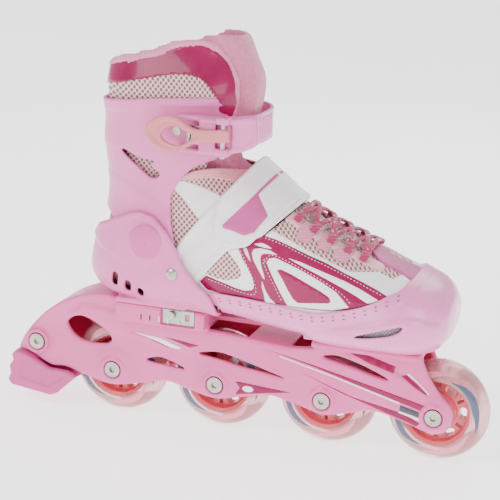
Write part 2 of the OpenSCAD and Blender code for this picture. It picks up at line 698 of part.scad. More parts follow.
module buckle_lever() {
    ring = [[-84, 215], [-80.4, 221], [-70, 224.4], [-59.6, 224.6], [-46, 220], [-29, 220], [-29, 212], [-46, 210.5],
        [-59, 205], [-68, 204.4], [-77, 207.5]];
    hole = [[-76, 215], [-71, 219], [-64, 220.4], [-58, 217], [-59, 211], [-66, 209.2], [-72, 210.8]];
    color("#dfa0a8") difference() {
        union() {
            across(closed_curve(ring, 3), lever_at[1] - 3.4, lever_at[1] - 0.2);
            translate([lever_at[0], lever_at[1], 206]) cylinder(r = 3.4, h = 20);
        }
        across(closed_curve(hole, 3), -65, -50);
        translate([lever_at[0], lever_at[1], 200]) cylinder(r = 1.55, h = 30);
    }
}

module lever_pin() {
    color("silver") translate([lever_at[0], lever_at[1], 202.6]) cylinder(r = 1.5, h = 26.8);
}

// Two cheeks that hold the lever's pin and the pawl's pin, above and below the ladder strap.
module buckle_frame() {
    color("#e8aebb") for (z = [203, 226.4]) difference() {
        union() {
            translate([-34, -59, z]) cube([13, 12, 2.6]);
            translate([-55, -55, z]) cube([22, 8, 2.6]);
        }
        translate([lever_at[0], lever_at[1], z - 1]) cylinder(r = 1.5, h = 5);
        translate([pawl_at[0], pawl_at[1], z - 1]) cylinder(r = 0.9, h = 5);
    }
}

module pawl_pin() {
    color("silver") translate([pawl_at[0], pawl_at[1], 202.8]) cylinder(r = 0.9, h = 26.4);
}

module buckle_pawl() {
    color("silver") difference() {
        union() {
            translate([pawl_at[0], pawl_at[1], 210]) cylinder(r = 1.8, h = 12);
            translate([pawl_at[0], pawl_at[1] - 0.7, 210]) cube([13, 1.4, 12]);
        }
        translate([pawl_at[0], pawl_at[1], 205]) cylinder(r = 0.95, h = 25);
        translate([-47, -60, 214]) cube([5, 20, 4]);
    }
}

// ---------- what is drawn ----------

frame();
brake_pad();
brake_bolt();
axle_screws();
axle_barrels();
bearing_spacers();
bearing_inner_races();
deck_bolts();
size_rail();
size_clip();
size_button();
button_spring();
heel_shell();
footbed();
heel_liner();
inner_boot();
quarter();
pivot_rivets();
cuff_bushes();
pivot_caps();
strap_rivets();
instep_strap();
strap_flap();
flap_pad();
toe_shell();
toe_upper();
toe_footbed();
toe_bolts();
tongue_base();
lace_loops();
laces();
cuff();
collar();
tongue_top();
buckle_base();
buckle_frame();
buckle_rivets();
ladder_strap();
ladder_rivet();
buckle_lever();
lever_pin();
buckle_pawl();
pawl_pin();
tyre(0);  // tyre_1
tyre(1);  // tyre_2
tyre(2);  // tyre_3
tyre(3);  // tyre_4
hub(0);  // hub_1
hub(1);  // hub_2
hub(2);  // hub_3
hub(3);  // hub_4
outer_races(0);  // outer_races_1
outer_races(1);  // outer_races_2
outer_races(2);  // outer_races_3
outer_races(3);  // outer_races_4
balls(0);  // balls_1
balls(1);  // balls_2
balls(2);  // balls_3
balls(3);  // balls_4
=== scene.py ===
"""Looks of a child's adjustable inline skate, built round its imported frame.

Lengths in this file are millimetres in the frame's axes (+X to the toe, +Z up, -Y to the outer side)
until a mesh is made, when they become metres. Most pieces are level sets sampled on a grid: a layer of
the boot is a range of distances from the foot's surface, trimmed by outlines in x and z.
"""

import math
from types import SimpleNamespace

import bpy
import numpy as np
import openvdb
from mathutils import Matrix, Vector
from mathutils.geometry import delaunay_2d_cdt


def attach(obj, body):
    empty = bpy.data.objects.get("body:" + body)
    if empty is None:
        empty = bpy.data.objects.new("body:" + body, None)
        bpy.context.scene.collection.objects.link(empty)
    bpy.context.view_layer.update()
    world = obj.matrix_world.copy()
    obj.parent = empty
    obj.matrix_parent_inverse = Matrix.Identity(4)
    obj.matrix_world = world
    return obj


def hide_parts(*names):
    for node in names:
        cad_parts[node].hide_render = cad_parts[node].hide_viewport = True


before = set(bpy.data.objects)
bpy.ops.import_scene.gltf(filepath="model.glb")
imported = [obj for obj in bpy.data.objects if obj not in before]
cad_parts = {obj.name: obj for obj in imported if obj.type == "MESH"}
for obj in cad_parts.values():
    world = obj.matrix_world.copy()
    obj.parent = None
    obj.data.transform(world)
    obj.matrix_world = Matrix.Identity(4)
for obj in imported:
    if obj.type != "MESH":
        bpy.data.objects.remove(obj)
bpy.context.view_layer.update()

MM = 0.001
COARSE = 1.0     # sample spacing of the large hard parts
FINE = 0.7       # of small parts and thin trim

# ---------- places shared with the CAD ----------

AXLE_Z = 35
PITCH = 77
AXLES = [(i - 1.5) * PITCH for i in range(4)]
BRAKE = (-174.5, 48)
PIVOT = (-83, 138)
STRAP_RIVET = (-63.8, 118)
HALF_W = 19
WALL_T = 4

# Rings of the foot's surface from toe to collar: sole or back point (x, z), top or front point (x, z),
# half width, squareness above and below.
FOOT = np.array([
    [119.2, 97, 119.8, 107, 12, 2, 2], [117, 88.5, 118, 113.5, 25, 2.2, 2.6],
    [108.6, 84.5, 110.6, 121.5, 36, 2.3, 3],
    [95, 83, 98, 127, 43, 2.3, 3.2], [72, 83, 77, 135.5, 46, 2.3, 3.4], [48, 83, 54, 144.5, 46, 2.3, 3.6],
    [24, 85, 32, 154, 44.5, 2.3, 3.6], [0, 87, 12, 166, 42, 2.3, 3.6], [-25, 90, -6, 180, 40.5, 2.3, 3.6],
    [-55, 92.5, -17, 188, 39.5, 2.3, 3.6], [-90, 94.5, -25, 192, 37.5, 2.3, 3.4],
    [-117, 97, -29, 195, 36, 2.2, 3], [-129, 106, -30, 197, 35, 2.2, 2.8],
    [-129, 122, -31, 199, 35, 2.2, 2.6],
    [-124, 147, -31, 202, 36, 2.2, 2.4], [-121, 170, -30, 207, 38.5, 2.3, 2.4],
    [-124.5, 195, -29.5, 215, 41, 2.4, 2.4], [-124, 220, -29, 229, 43, 2.4, 2.4],
    [-125.5, 240, -31, 248, 44, 2.4, 2.4], [-124.5, 254, -38, 266, 43.5, 2.3, 2.3],
    [-123, 272, -44, 288, 43, 2.3, 2.3]])


# ---------- curves ----------

def catmull(p, u):
    """Points on a Catmull-Rom spline through the rows of p, one unit of u per span."""
    p = np.asarray(p, float)
    u = np.atleast_1d(u)
    i = np.minimum(u.astype(int), len(p) - 2)
    t = (u - i)[:, None]
    a, b, c, d = (p[np.clip(i + k, 0, len(p) - 1)] for k in (-1, 0, 1, 2))
    return 0.5 * (2 * b + (c - a) * t + (2 * a - 5 * b + 4 * c - d) * t**2 + (3 * b - a - 3 * c + d) * t**3)


def smooth_line(points, per_span=5):
    """An open line through the points, rounded between them."""
    return catmull(points, np.linspace(0, len(points) - 1, per_span * (len(points) - 1) + 1))


def smooth_loop(points, per_span=4):
    """A closed outline through the points, rounded between them."""
    n = len(points)
    around = [points[-1], *points, points[0], points[1]]
    return catmull(around, np.linspace(1, n + 1, per_span * n + 1)[:-1])


# ---------- level sets ----------

class Space:
    """A box of sample points between two corners."""

    def __init__(self, low, high, step):
        self.low, self.step = np.array(low, float), step
        self.axes = [np.arange(a, b + step, step, dtype=np.float32) for a, b in zip(low, high)]
        self.x = self.axes[0][:, None, None]
        self.y = self.axes[1][None, :, None]
        self.z = self.axes[2][None, None, :]
        self._foot = None

    def foot(self):
        """Distance from the foot's surface, negative inside."""
        if self._foot is None:
            self._foot = resample(FOOT_FIELD, FOOT_LOW, FOOT_STEP, self.axes)
        return self._foot


def resample(field, low, step, axes):
    """Linear interpolation of a sampled field at the crossings of three axes."""
    for k, axis in enumerate(axes):
        pos = np.clip((axis - low[k]) / step, 0, field.shape[k] - 1.001)
        i = pos.astype(int)
        shape = [1, 1, 1]
        shape[k] = -1
        f = (pos - i).astype(np.float32).reshape(shape)
        field = np.take(field, i, k) * (1 - f) + np.take(field, i + 1, k) * f
    return field


def at_points(field, low, step, p):
    """Linear interpolation of a sampled field at scattered points."""
    pos = np.clip((p - low) / step, 0, np.array(field.shape) - 1.001)
    i = pos.astype(int)
    f = pos - i
    total = np.zeros(len(p))
    for corner in range(8):
        bits = [(corner >> k) & 1 for k in range(3)]
        w = np.prod([f[:, k] if bits[k] else 1 - f[:, k] for k in range(3)], axis=0)
        total += w * field[i[:, 0] + bits[0], i[:, 1] + bits[1], i[:, 2] + bits[2]]
    return total


def both(a, b, r=0.0):
    """Intersection, its edge rounded to radius r."""
    if not r:
        return np.maximum(a, b)
    return np.minimum(np.maximum(a, b), -r) + np.hypot(np.maximum(a + r, 0), np.maximum(b + r, 0))


def less(a, b, r=0.0):
    return both(a, -b, r)


def either(a, b, r=0.0):
    """Union, its corner filled to radius r."""
    return -both(-a, -b, r)


def inside(points, s):
    """Signed distance in x and z from a closed outline, negative inside."""
    x, z = s.x, s.z
    p = np.asarray(points, np.float32)
    best = np.full((x.shape[0], 1, z.shape[2]), 1e9, np.float32)
    within = np.zeros(best.shape, bool)
    for (ax, az), (bx, bz) in zip(p, np.roll(p, -1, 0)):
        ex, ez = bx - ax, bz - az
        if ex == 0 and ez == 0:
            continue
        t = np.clip(((x - ax) * ex + (z - az) * ez) / (ex * ex + ez * ez), 0, 1)
        best = np.minimum(best, (x - ax - ex * t) ** 2 + (z - az - ez * t) ** 2)
        if ez:
            within ^= ((az > z) != (bz > z)) & (x < ax + ex * (z - az) / ez)
    return np.where(within, -1, 1) * np.sqrt(best)


def from_line(points, s):
    """Distance in x and z from an open line."""
    x, z = s.x, s.z
    p = np.asarray(points, np.float32)
    best = np.full((x.shape[0], 1, z.shape[2]), 1e9, np.float32)
    for (ax, az), (bx, bz) in zip(p[:-1], p[1:]):
        ex, ez = bx - ax, bz - az
        t = np.clip(((x - ax) * ex + (z - az) * ez) / (ex * ex + ez * ez), 0, 1)
        best = np.minimum(best, (x - ax - ex * t) ** 2 + (z - az - ez * t) ** 2)
    return np.sqrt(best)


def swell(d, height, soft):
    """Height over a region, given its signed distance d, that eases off over its edge."""
    t = np.clip(0.5 - d / soft, 0, 1)
    return height * t * t * (3 - 2 * t)


def crease(d, depth, width):
    """A soft valley along a line, given the distance d from it."""
    return -depth * np.exp(-((d / width) ** 2))


def bar(s, x, z, r, y0, y1, edge=0.6):
    """Round bar across the skate."""
    return both(np.hypot(s.x - x, s.z - z) - r, np.maximum(y0 - s.y, s.y - y1), edge)


def block(s, low, high, r=0.8):
    """Rounded block between two corners."""
    c, h = (np.array(low) + high) / 2, (np.array(high) - low) / 2 - r
    q = [np.abs(v - m) - e for v, m, e in zip((s.x, s.y, s.z), c, h)]
    outer = np.sqrt(sum(np.maximum(v, 0) ** 2 for v in q))
    return outer + np.minimum(np.maximum(np.maximum(q[0], q[1]), q[2]), 0) - r


def layer(d, inner, outer):
    """The part of space between two distances from a surface."""
    return np.abs(d - (inner + outer) / 2) - (outer - inner) / 2


def make_mesh(name, points, faces, material):
    """A smooth-shaded object from points in mm and equal-sized faces."""
    points, faces = np.asarray(points), np.asarray(faces)
    mesh = bpy.data.meshes.new(name)
    n, k = faces.shape
    mesh.vertices.add(len(points))
    mesh.vertices.foreach_set("co", (points * MM).astype(np.float32).ravel())
    mesh.loops.add(n * k)
    mesh.loops.foreach_set("vertex_index", faces.astype(np.int32).ravel())
    mesh.polygons.add(n)
    mesh.polygons.foreach_set("loop_start", np.arange(0, n * k, k, dtype=np.int32))
    mesh.polygons.foreach_set("use_smooth", np.ones(n, bool))
    mesh.update(calc_edges=True)
    mesh.validate()
    mesh.materials.append(material)
    obj = bpy.data.objects.new(name, mesh)
    bpy.context.scene.collection.objects.link(obj)
    return obj


def skin_field(s, field):
    """Quads over the zero level of a field, moved exactly onto it."""
    field = np.array(np.broadcast_to(field, [len(a) for a in s.axes]), np.float32)
    for face in (field[0], field[-1], field[:, 0], field[:, -1], field[:, :, 0], field[:, :, -1]):
        np.maximum(face, 0.3, out=face)
    grid = openvdb.FloatGrid(4.0)
    grid.copyFromArray(field)
    p, quads = grid.convertToQuads(0.0)
    p = p.astype(float) * s.step + s.low
    h = 0.5 * s.step
    for _ in range(3):
        f = at_points(field, s.low, s.step, p)
        g = np.stack([at_points(field, s.low, s.step, p + h * e) - at_points(field, s.low, s.step, p - h * e)
                      for e in np.eye(3)], 1) / (2 * h)
        move = g * (f / np.maximum((g * g).sum(1), 0.05))[:, None]
        p -= np.clip(move, -0.3 * s.step, 0.3 * s.step)
    return p, quads.astype(np.int64)


def piece(name, s, field, material, body, slot, *nodes):
    """A mesh of the field that rides on a body and stands for CAD nodes."""
    obj = make_mesh(name, *skin_field(s, field), material)
    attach(obj, body)
    if nodes:
        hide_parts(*nodes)
    return obj


def spow(v, n):
    return np.sign(v) * np.abs(v) ** n


def foot_field(step=1.5, around=96, per_ring=8):
    """The foot's surface as a sampled signed distance, with its low corner and spacing."""
    t = np.linspace(0, len(FOOT) - 1, per_ring * (len(FOOT) - 1) + 1)
    q = catmull(FOOT, t)
    back, front = q[:, 0:2], q[:, 2:4]
    centre, reach = (back + front) / 2, (front - back) / 2
    a = np.linspace(0, 2 * math.pi, around, endpoint=False)
    power = 2 / np.where(np.cos(a)[None] > 0, q[:, 5:6], q[:, 6:7])
    u, v = spow(np.cos(a)[None], power), spow(np.sin(a)[None], power)
    xz = centre[:, None] + reach[:, None] * u[..., None]
    rings = np.stack([xz[..., 0], q[:, 4:5] * v, xz[..., 1]], 2)
    points = np.concatenate([rings.reshape(-1, 3), [[centre[0][0], 0, centre[0][1]],
                                                    [centre[-1][0], 0, centre[-1][1]]]])
    i, j = np.meshgrid(np.arange(len(t) - 1), np.arange(around), indexing="ij")
    k = (j + 1) % around
    quads = np.stack([i * around + j, i * around + k, (i + 1) * around + k, (i + 1) * around + j],
                     -1).reshape(-1, 4)
    j = np.arange(around)
    k = (j + 1) % around
    last = (len(t) - 1) * around
    caps = np.concatenate([np.stack([k, j, np.full(around, len(points) - 2)], 1),
                           np.stack([last + j, last + k, np.full(around, len(points) - 1)], 1)])
    grid = openvdb.FloatGrid.createLevelSetFromPolygons(
        points.astype(np.float32), triangles=caps.astype(np.uint32), quads=quads.astype(np.uint32),
        transform=openvdb.createLinearTransform(step), halfWidth=14)
    low = np.round(np.array([-162, -72, 54]) / step).astype(int)
    field = np.zeros(np.round(np.array([306, 144, 246]) / step).astype(int), np.float32)
    grid.copyToArray(field, tuple(int(v) for v in low))
    return field, low * step, step


FOOT_FIELD, FOOT_LOW, FOOT_STEP = foot_field()


# ---------- materials ----------

def linear(code):
    """Linear colour from a #rrggbb code."""
    c = np.array([int(code[i:i + 2], 16) for i in (1, 3, 5)]) / 255
    return (*(float(v) for v in np.where(c <= 0.04045, c / 12.92, ((c + 0.055) / 1.055) ** 2.4)), 1.0)


class Paint:
    """A node material under construction. Texture sizes are in mm."""

    def __init__(self, name, **values):
        self.material = bpy.data.materials.new(name)
        self.material.use_nodes = True
        self.tree = self.material.node_tree
        self.bsdf = self.tree.nodes["Principled BSDF"]
        for key, value in values.items():
            self.bsdf.inputs[key.replace("_", " ")].default_value = value
        self.place = self.add("TexCoord", "Object")

    def add(self, kind, out=0, inputs=None, **settings):
        """One shader node, its sockets linked or set. Returns one of its outputs."""
        node = self.tree.nodes.new("ShaderNode" + kind)
        for key, value in settings.items():
            setattr(node, key, value)
        for key, value in (inputs or {}).items():
            if isinstance(value, bpy.types.NodeSocket):
                self.tree.links.new(value, node.inputs[key])
            else:
                node.inputs[key].default_value = value
        return node.outputs[out]

    def math(self, kind, a, b=0.0):
        return self.add("Math", inputs={0: a, 1: b}, operation=kind)

    def noise(self, size, detail=3.0, stretch=None):
        place = self.place
        if stretch:
            place = self.add("Mapping", inputs={"Vector": place, "Scale": stretch})
        return self.add("TexNoise", inputs={"Vector": place, "Scale": 1000 / size, "Detail": detail})

    def ramp(self, factor, *stops):
        """Colours along a factor, each stop (position, colour code)."""
        socket = self.add("ValToRGB", inputs={0: factor})
        elements = socket.node.color_ramp.elements
        while len(elements) < len(stops):
            elements.new(0.5)
        for element, (position, code) in zip(elements, stops):
            element.position, element.color = position, linear(code)
        return socket

    def spread(self, factor, low, high):
        return self.add("MapRange", inputs={"Value": factor, "From Min": 0.3, "From Max": 0.7,
                                            "To Min": low, "To Max": high})

    def link(self, key, value):
        self.tree.links.new(value, self.bsdf.inputs[key])
        return self

    def bump(self, height, depth, strength=0.6):
        """Relief of that depth in mm, over any relief that is already there."""
        before = self.bsdf.inputs["Normal"].links
        inputs = {"Height": height, "Strength": strength, "Distance": depth * MM}
        if before:
            inputs["Normal"] = before[0].from_socket
        return self.link("Normal", self.add("Bump", inputs=inputs))

    def wave(self, pitch, direction, distort=0.0):
        """Ridges across one axis, 0 to 1."""
        return self.add("TexWave", "Fac", {"Vector": self.place, "Scale": 1000 / pitch / 3.183,
                                           "Distortion": distort, "Detail": 1.0},
                        bands_direction=direction)


def plastic(name, light, dark, rough=0.34, coat=0.15, grain=0.05, **values):
    """Moulded plastic: faint cloudiness, fine grain and uneven gloss."""
    p = Paint(name, Coat_Weight=coat, Coat_Roughness=0.2, IOR=1.47, **values)
    p.link("Base Color", p.ramp(p.noise(38), (0.3, dark), (0.7, light)))
    p.link("Roughness", p.spread(p.noise(9), rough - 0.05, rough + 0.07))
    p.bump(p.noise(0.9, 5), grain, 0.5)
    p.bump(p.noise(14), 0.25, 0.3)
    return p.material


def metal(name, light, dark, rough=0.22, brushed=None):
    """Polished or brushed metal with fine scratches."""
    p = Paint(name, Metallic=1.0)
    scratches = p.noise(1.4, 4, brushed or (1, 1, 1))
    p.link("Base Color", p.ramp(p.noise(7), (0.3, dark), (0.7, light)))
    p.link("Roughness", p.spread(scratches, rough - 0.06, rough + 0.12))
    p.bump(scratches, 0.05, 0.3)
    return p.material


def patent(name, light, dark):
    """Glossy coated leather, gently rippled."""
    p = Paint(name, Coat_Weight=0.3, Coat_Roughness=0.06, IOR=1.4, Specular_IOR_Level=0.3)
    p.link("Base Color", p.ramp(p.noise(24), (0.3, dark), (0.7, light)))
    p.link("Roughness", p.spread(p.noise(6), 0.2, 0.34))
    p.bump(p.noise(16, 2), 0.5, 0.4)
    return p.material


def leather(name, light, dark, pores=None):
    """Smooth coated leather with a pebbled grain, pricked with holes where pores gives their pitch."""
    p = Paint(name, Coat_Weight=0.1, Coat_Roughness=0.35, IOR=1.45)
    cells = p.add("TexVoronoi", "Distance", {"Vector": p.place, "Scale": 1000 / 1.1})
    colour = p.ramp(p.noise(20), (0.3, dark), (0.7, light))
    p.link("Roughness", p.spread(p.noise(4), 0.42, 0.58))
    p.bump(cells, 0.1, 0.45)
    if pores:
        holes = lattice(p, pores, 0.5)
        colour = p.add("Mix", 2, {0: holes, 6: colour, 7: linear("#b98a8c")}, data_type="RGBA")
        p.bump(p.math("MULTIPLY", holes, -1.0), 0.5, 0.7)
    p.link("Base Color", colour)
    return p.material


def lattice(p, pitch, size):
    """1 in the holes of a diamond mesh seen from the side, 0 on its threads. size is from 0 to 1."""
    axes = p.add("SeparateXYZ", inputs={0: p.place})
    x = p.math("ADD", axes, p.math("MULTIPLY", axes.node.outputs[1], 0.6))
    a = p.math("SINE", p.math("MULTIPLY", x, 2 * math.pi * 1000 / pitch))
    b = p.math("SINE", p.math("MULTIPLY", axes.node.outputs[2], 0.9 * 2 * math.pi * 1000 / pitch))
    return p.add("MapRange", inputs={"Value": p.math("MULTIPLY", a, b), "From Min": 1 - size - 0.15,
                                     "From Max": 1 - size + 0.2, "To Min": 0.0, "To Max": 1.0})


def mesh_cloth(name, thread, shade, hole, pitch, size=0.72):
    """Open diamond mesh over a darker backing."""
    p = Paint(name, Sheen_Weight=0.25, Sheen_Roughness=0.5)
    holes = lattice(p, pitch, size)
    threads = p.ramp(p.noise(1.2, 4), (0.3, shade), (0.7, thread))
    p.link("Base Color", p.add("Mix", 2, {0: holes, 6: threads, 7: linear(hole)}, data_type="RGBA"))
    p.link("Roughness", p.spread(p.noise(2), 0.7, 0.9))
    p.bump(p.math("MULTIPLY", holes, -1.0), 1.0, 0.9)
    p.bump(p.noise(0.5, 4), 0.2, 0.5)
    return p.material


def cloth(name, light, dark, rib=None, across="Z"):
    """Brushed fabric, ribbed like corduroy where rib gives the pitch of its ribs."""
    p = Paint(name, Sheen_Weight=0.5, Sheen_Roughness=0.45)
    tone = p.noise(3, 5)
    if rib:
        ribs = p.wave(rib, across, 0.6)
        tone = p.math("ADD", p.math("MULTIPLY", tone, 0.6), p.math("MULTIPLY", ribs, 0.35))
        p.bump(ribs, 0.5, 0.8)
    p.link("Base Color", p.ramp(tone, (0.25, dark), (0.7, light)))
    p.link("Roughness", p.spread(p.noise(2), 0.75, 0.95))
    p.bump(p.noise(0.45, 4), 0.25, 0.6)
    return p.material


def braid(name, thread, fleck):
    """Round braided lace of two colours."""
    p = Paint(name, Sheen_Weight=0.3)
    cells = p.add("TexVoronoi", "Distance", {"Vector": p.place, "Scale": 1000 / 2.2})
    p.link("Base Color", p.ramp(p.math("ADD", cells, p.math("MULTIPLY", p.noise(2.5), 0.35)), (0.94, thread),
                                (1.0, fleck)))
    p.link("Roughness", p.spread(p.noise(2), 0.6, 0.85))
    p.bump(cells, 0.35, 0.8)
    return p.material


# Inner and outer radius of the print in the tyre flanks, in metres.
TYRE_PRINT = (0.0248, 0.0292)


def tyre_urethane():
    """Clear pink urethane with navy and pink arcs printed inside its flank."""
    p = Paint("tyre_urethane", IOR=1.42, Coat_Weight=0.3, Coat_Roughness=0.1)
    axes = p.add("SeparateXYZ", inputs={0: p.place})
    x = p.math("SUBTRACT", p.math("FLOORED_MODULO", p.math("ADD", axes, 2 * PITCH * MM), PITCH * MM),
               PITCH * MM / 2)
    z = p.math("SUBTRACT", axes.node.outputs[2], AXLE_Z * MM)
    radius = p.math("SQRT", p.math("ADD", p.math("MULTIPLY", x, x), p.math("MULTIPLY", z, z)))
    turn = p.math("ARCTAN2", z, x)
    arms = p.math("ADD", p.math("MULTIPLY", turn, 2.0), p.math("MULTIPLY", radius, 260.0))
    sweep = p.math("SINE", arms)
    ring = p.math("MULTIPLY", p.math("GREATER_THAN", radius, TYRE_PRINT[0]),
                  p.math("LESS_THAN", radius, TYRE_PRINT[1]))
    navy = p.math("MULTIPLY", ring, p.math("GREATER_THAN", sweep, 0.45))
    rose = p.math("MULTIPLY", ring, p.math("LESS_THAN", sweep, -0.55))
    base = p.ramp(p.noise(20), (0.3, "#efb3b8"), (0.7, "#f6c6c6"))
    base = p.add("Mix", 2, {0: rose, 6: base, 7: linear("#e58a9c")}, data_type="RGBA")
    base = p.add("Mix", 2, {0: navy, 6: base, 7: linear("#4d5672")}, data_type="RGBA")
    p.link("Base Color", base)
    p.link("Transmission Weight", p.math("MULTIPLY", p.math("SUBTRACT", 1.0, p.math("MAXIMUM", navy, rose)),
                                         0.72))
    p.link("Roughness", p.spread(p.noise(5), 0.1, 0.2))
    p.bump(p.noise(3, 3), 0.08, 0.4)
    return p.material


SHELL = plastic("shell_plastic", "#df72b0", "#d867a7")
FRAME = plastic("frame_plastic", "#e063a4", "#d8589a", rough=0.36)
TOE = plastic("toe_plastic", "#ea84c0", "#e379b7", rough=0.26, coat=0.35)
CAP = plastic("cap_plastic", "#d45aa2", "#cb5098", rough=0.3)
BRAKE_RUBBER = plastic("brake_rubber", "#cb5293", "#bf4887", rough=0.5, coat=0.0, grain=0.12)
RAIL = plastic("rail_plastic", "#d2437f", "#c23872", rough=0.4)
# deep red for the inner faces of the frame's channel: painted shade where the channel lies in shadow
CHANNEL_SHADE = plastic("channel_painted_shade", "#cb3355", "#b82a4a", rough=0.42, coat=0.0)
LEVER = plastic("lever_plastic", "#d2747e", "#c76a75", rough=0.34)
LADDER = plastic("ladder_plastic", "#e27ab6", "#da6fac", rough=0.3)
WHITE = plastic("white_plastic", "#f6f3f4", "#efebed", rough=0.3)
HUB = plastic("hub_plastic", "#e66270", "#dc5766", rough=0.3, coat=0.25)
STEEL = metal("steel", "#bdbab0", "#a29f95", 0.27)
RACE = metal("bearing_steel", "#9f9f9b", "#7f7f7c", 0.28)
CLIP = metal("clip_steel", "#b9c3b4", "#a2ad9d", 0.36, brushed=(1, 8, 8))
SPRING = metal("spring_steel", "#b5b5b2", "#8e8e8a", 0.3)
MAGENTA = patent("trim_magenta", "#94044c", "#7f0340")
STRAP = leather("strap_white", "#f5f1f1", "#ece6e7")
PANEL = leather("panel_white", "#f7f4f4", "#efeaea")
PRICKED = leather("pricked_peach", "#f3dfdb", "#ecd3cf", pores=3.2)
PAD = leather("pad_pink", "#c14a8e", "#b64184")
MESH = mesh_cloth("mesh_fabric", "#eecac9", "#ddb3b2", "#855457", pitch=3.7, size=0.88)
CORD_CLOTH = cloth("corduroy", "#dd84a8", "#cf7299")
TONGUE_CLOTH = cloth("tongue_fabric", "#cf7597", "#bd6385")
LINING = cloth("lining_fabric", "#de7d96", "#cb6882")
PEACH = cloth("peach_binding", "#ec9fab", "#e1909d")
TYRE = tyre_urethane()
LACE = braid("lace_cord", "#a3154f", "#f0d3dd")
MAGENTA_WEB = cloth("lace_tab", "#b31f60", "#9c1852", rib=1.4)
GREY = plastic("grey_inlay", "#43474e", "#383c43", rough=0.3)
GAUZE = mesh_cloth("grey_gauze", "#b9b3b6", "#9f999d", "#77727a", pitch=2.4)
WEB = cloth("lace_web", "#e88fae", "#d67a9c", rib=1.3)
PEACH_HIDE = leather("peach_hide", "#efb2b8", "#e6a3ab")
DARK_THREAD = cloth("dark_thread", "#9c3f72", "#883463")
ROSE_THREAD = cloth("rose_thread", "#f0c6d6", "#e4a9c2")
WHITE_THREAD = cloth("white_thread", "#f6eef0", "#e8dade")


# ---------- hard parts ----------

# Most outlines from here on are not drawn by hand. Points picked on the photo were projected through the
# fitted camera by a helper program, and its millimetre values were pasted in, some of them moved a little.
HEEL_FRONT = [(-34.8, 87.5), (-34.3, 95.2), (-37.5, 105.3), (-46.4, 114), (-55.3, 124), (-62, 136.4)]
HEEL_ARCH = [(-68.1, 145.4), (-74, 150.9), (-79.2, 155.2), (-86.5, 157.1), (-93.7, 157), (-107.5, 151.3),
             (-125, 143), (-131, 137), (-150, 130)]
CUFF_FRONT = [(-64, 138), (-66, 145), (-69, 160.5), (-68, 171), (-62, 181.7), (-51.7, 191.6), (-31.9, 201),
              (-24.5, 222), (-23.2, 231), (-28, 237.2)]
CUFF_TOP = [(-38, 238), (-55, 238), (-83, 235.6), (-104.4, 232.7), (-150, 227)]
CUFF_LOW = [(-150, 158), (-126, 155.5), (-112, 149), (-104, 138), (-98, 127.5), (-88, 123), (-77, 124),
            (-69, 129)]
SHELL_TOP = [(-66, 104), (-34.8, 107.3), (0.3, 106.7), (32, 105), (46.7, 107.2), (60.6, 111), (72.9, 115.8),
             (83.7, 121.6), (92, 126), (104, 140)]


def outline(*parts):
    """Joins lines, each smoothed on its own, into one closed outline."""
    return np.concatenate([smooth_line(p) if len(p) > 2 else np.asarray(p, float) for p in parts])


def slot_field(s, x, z, width, height, lean):
    """A slot through both sides, leaning forward by an angle in degrees."""
    c, n = math.cos(math.radians(lean)), math.sin(math.radians(lean))
    u, v = (s.x - x) * c - (s.z - z) * n, (s.x - x) * n + (s.z - z) * c
    r = width / 2
    return np.hypot(u, np.maximum(np.abs(v) - (height / 2 - r), 0)) - r


def heel_shell():
    s = Space((-148, -52, 84), (-28, 52, 162), COARSE)
    upper = inside([(-160, 145), (-130, 133), (-117, 128), (-95, 119.4), (-80, 114.2), (-65.5, 106.2),
                    (-43.5, 91.5),
                    (-20, 76), (-10, 180), (-160, 190)], s)
    pivot = np.hypot(s.x - PIVOT[0], s.z - PIVOT[1])
    d = s.foot() - swell(upper, 0.9, 3.5) - swell(pivot - 16.5, 0.7, 4)
    trim = inside(outline(HEEL_FRONT, HEEL_ARCH, [(-150, 87.5)]), s)
    wall = both(layer(d, 3.4, 6.2 + swell(np.abs(trim + 2.2) - 1.4, 0.35, 1.5)), trim, 1.1)
    wall = either(wall, block(s, (-112, -27, 87.6), (-60, 27, 91.2), 1), 2)
    for side in (-1, 1):
        wall = either(wall, both(pivot - 13, np.abs(s.y - side * 41.6) - 1.5, 0.8), 1.5)
    for x, z, height in ((-109, 106.8, 11), (-99.4, 103, 9), (-90.4, 99.2, 7)):
        wall = less(wall, slot_field(s, x, z, 4.6, height, 15), 0.9)
    piece("heel_shell_body", s, less(wall, pivot - 5), SHELL, "frame", "shell_plastic", "heel_shell")


def cuff():
    s = Space((-140, -52, 118), (-18, 52, 243), COARSE)
    band = inside([(-160, 219), (-112, 224.5), (-101.7, 225.4), (-92, 228.4), (-80, 230.6), (-55.6, 232.2),
                   (-10, 232.4),
                   (-10, 260), (-160, 260)], s)
    wing = inside([(-150, 196), (-114.4, 199.3), (-104, 198), (-94, 191.8), (-77.8, 182), (-71.5, 169.4),
                   (-60, 150),
                   (-69, 157), (-83.5, 168.1), (-98.8, 176.1), (-150, 188)], s)
    d = s.foot() - swell(band, 1.0, 2.2) + swell(wing, 0.9, 6)
    d = d - swell(np.hypot(s.x - PIVOT[0], s.z - PIVOT[1]) - 20, 0.5, 3)
    trim = inside(outline(CUFF_FRONT, CUFF_TOP, CUFF_LOW), s)
    wall = both(layer(d, 0.5, 3.2), trim, 1.0)
    throat = np.maximum(np.abs(s.y) - 27, np.maximum(-60 - s.x, 180 - s.z))
    wall = less(wall, throat, 1.0)
    vent = inside(smooth_loop([(-103.7, 197.2), (-101, 199), (-90.5, 195), (-79.5, 193.4), (-81.5, 190.8),
                               (-79.6, 187.6),
                               (-76.4, 186.8), (-76.2, 183.6), (-80, 181.2), (-84, 182.4), (-92.8, 189)]), s)
    wall = less(wall, np.maximum(vent, 20 - np.abs(s.y)), 0.8)
    wall = less(wall, np.hypot(s.x - PIVOT[0], s.z - PIVOT[1]) - 8.05)
    piece("cuff_body", s, wall, SHELL, "cuff", "shell_plastic", "cuff")


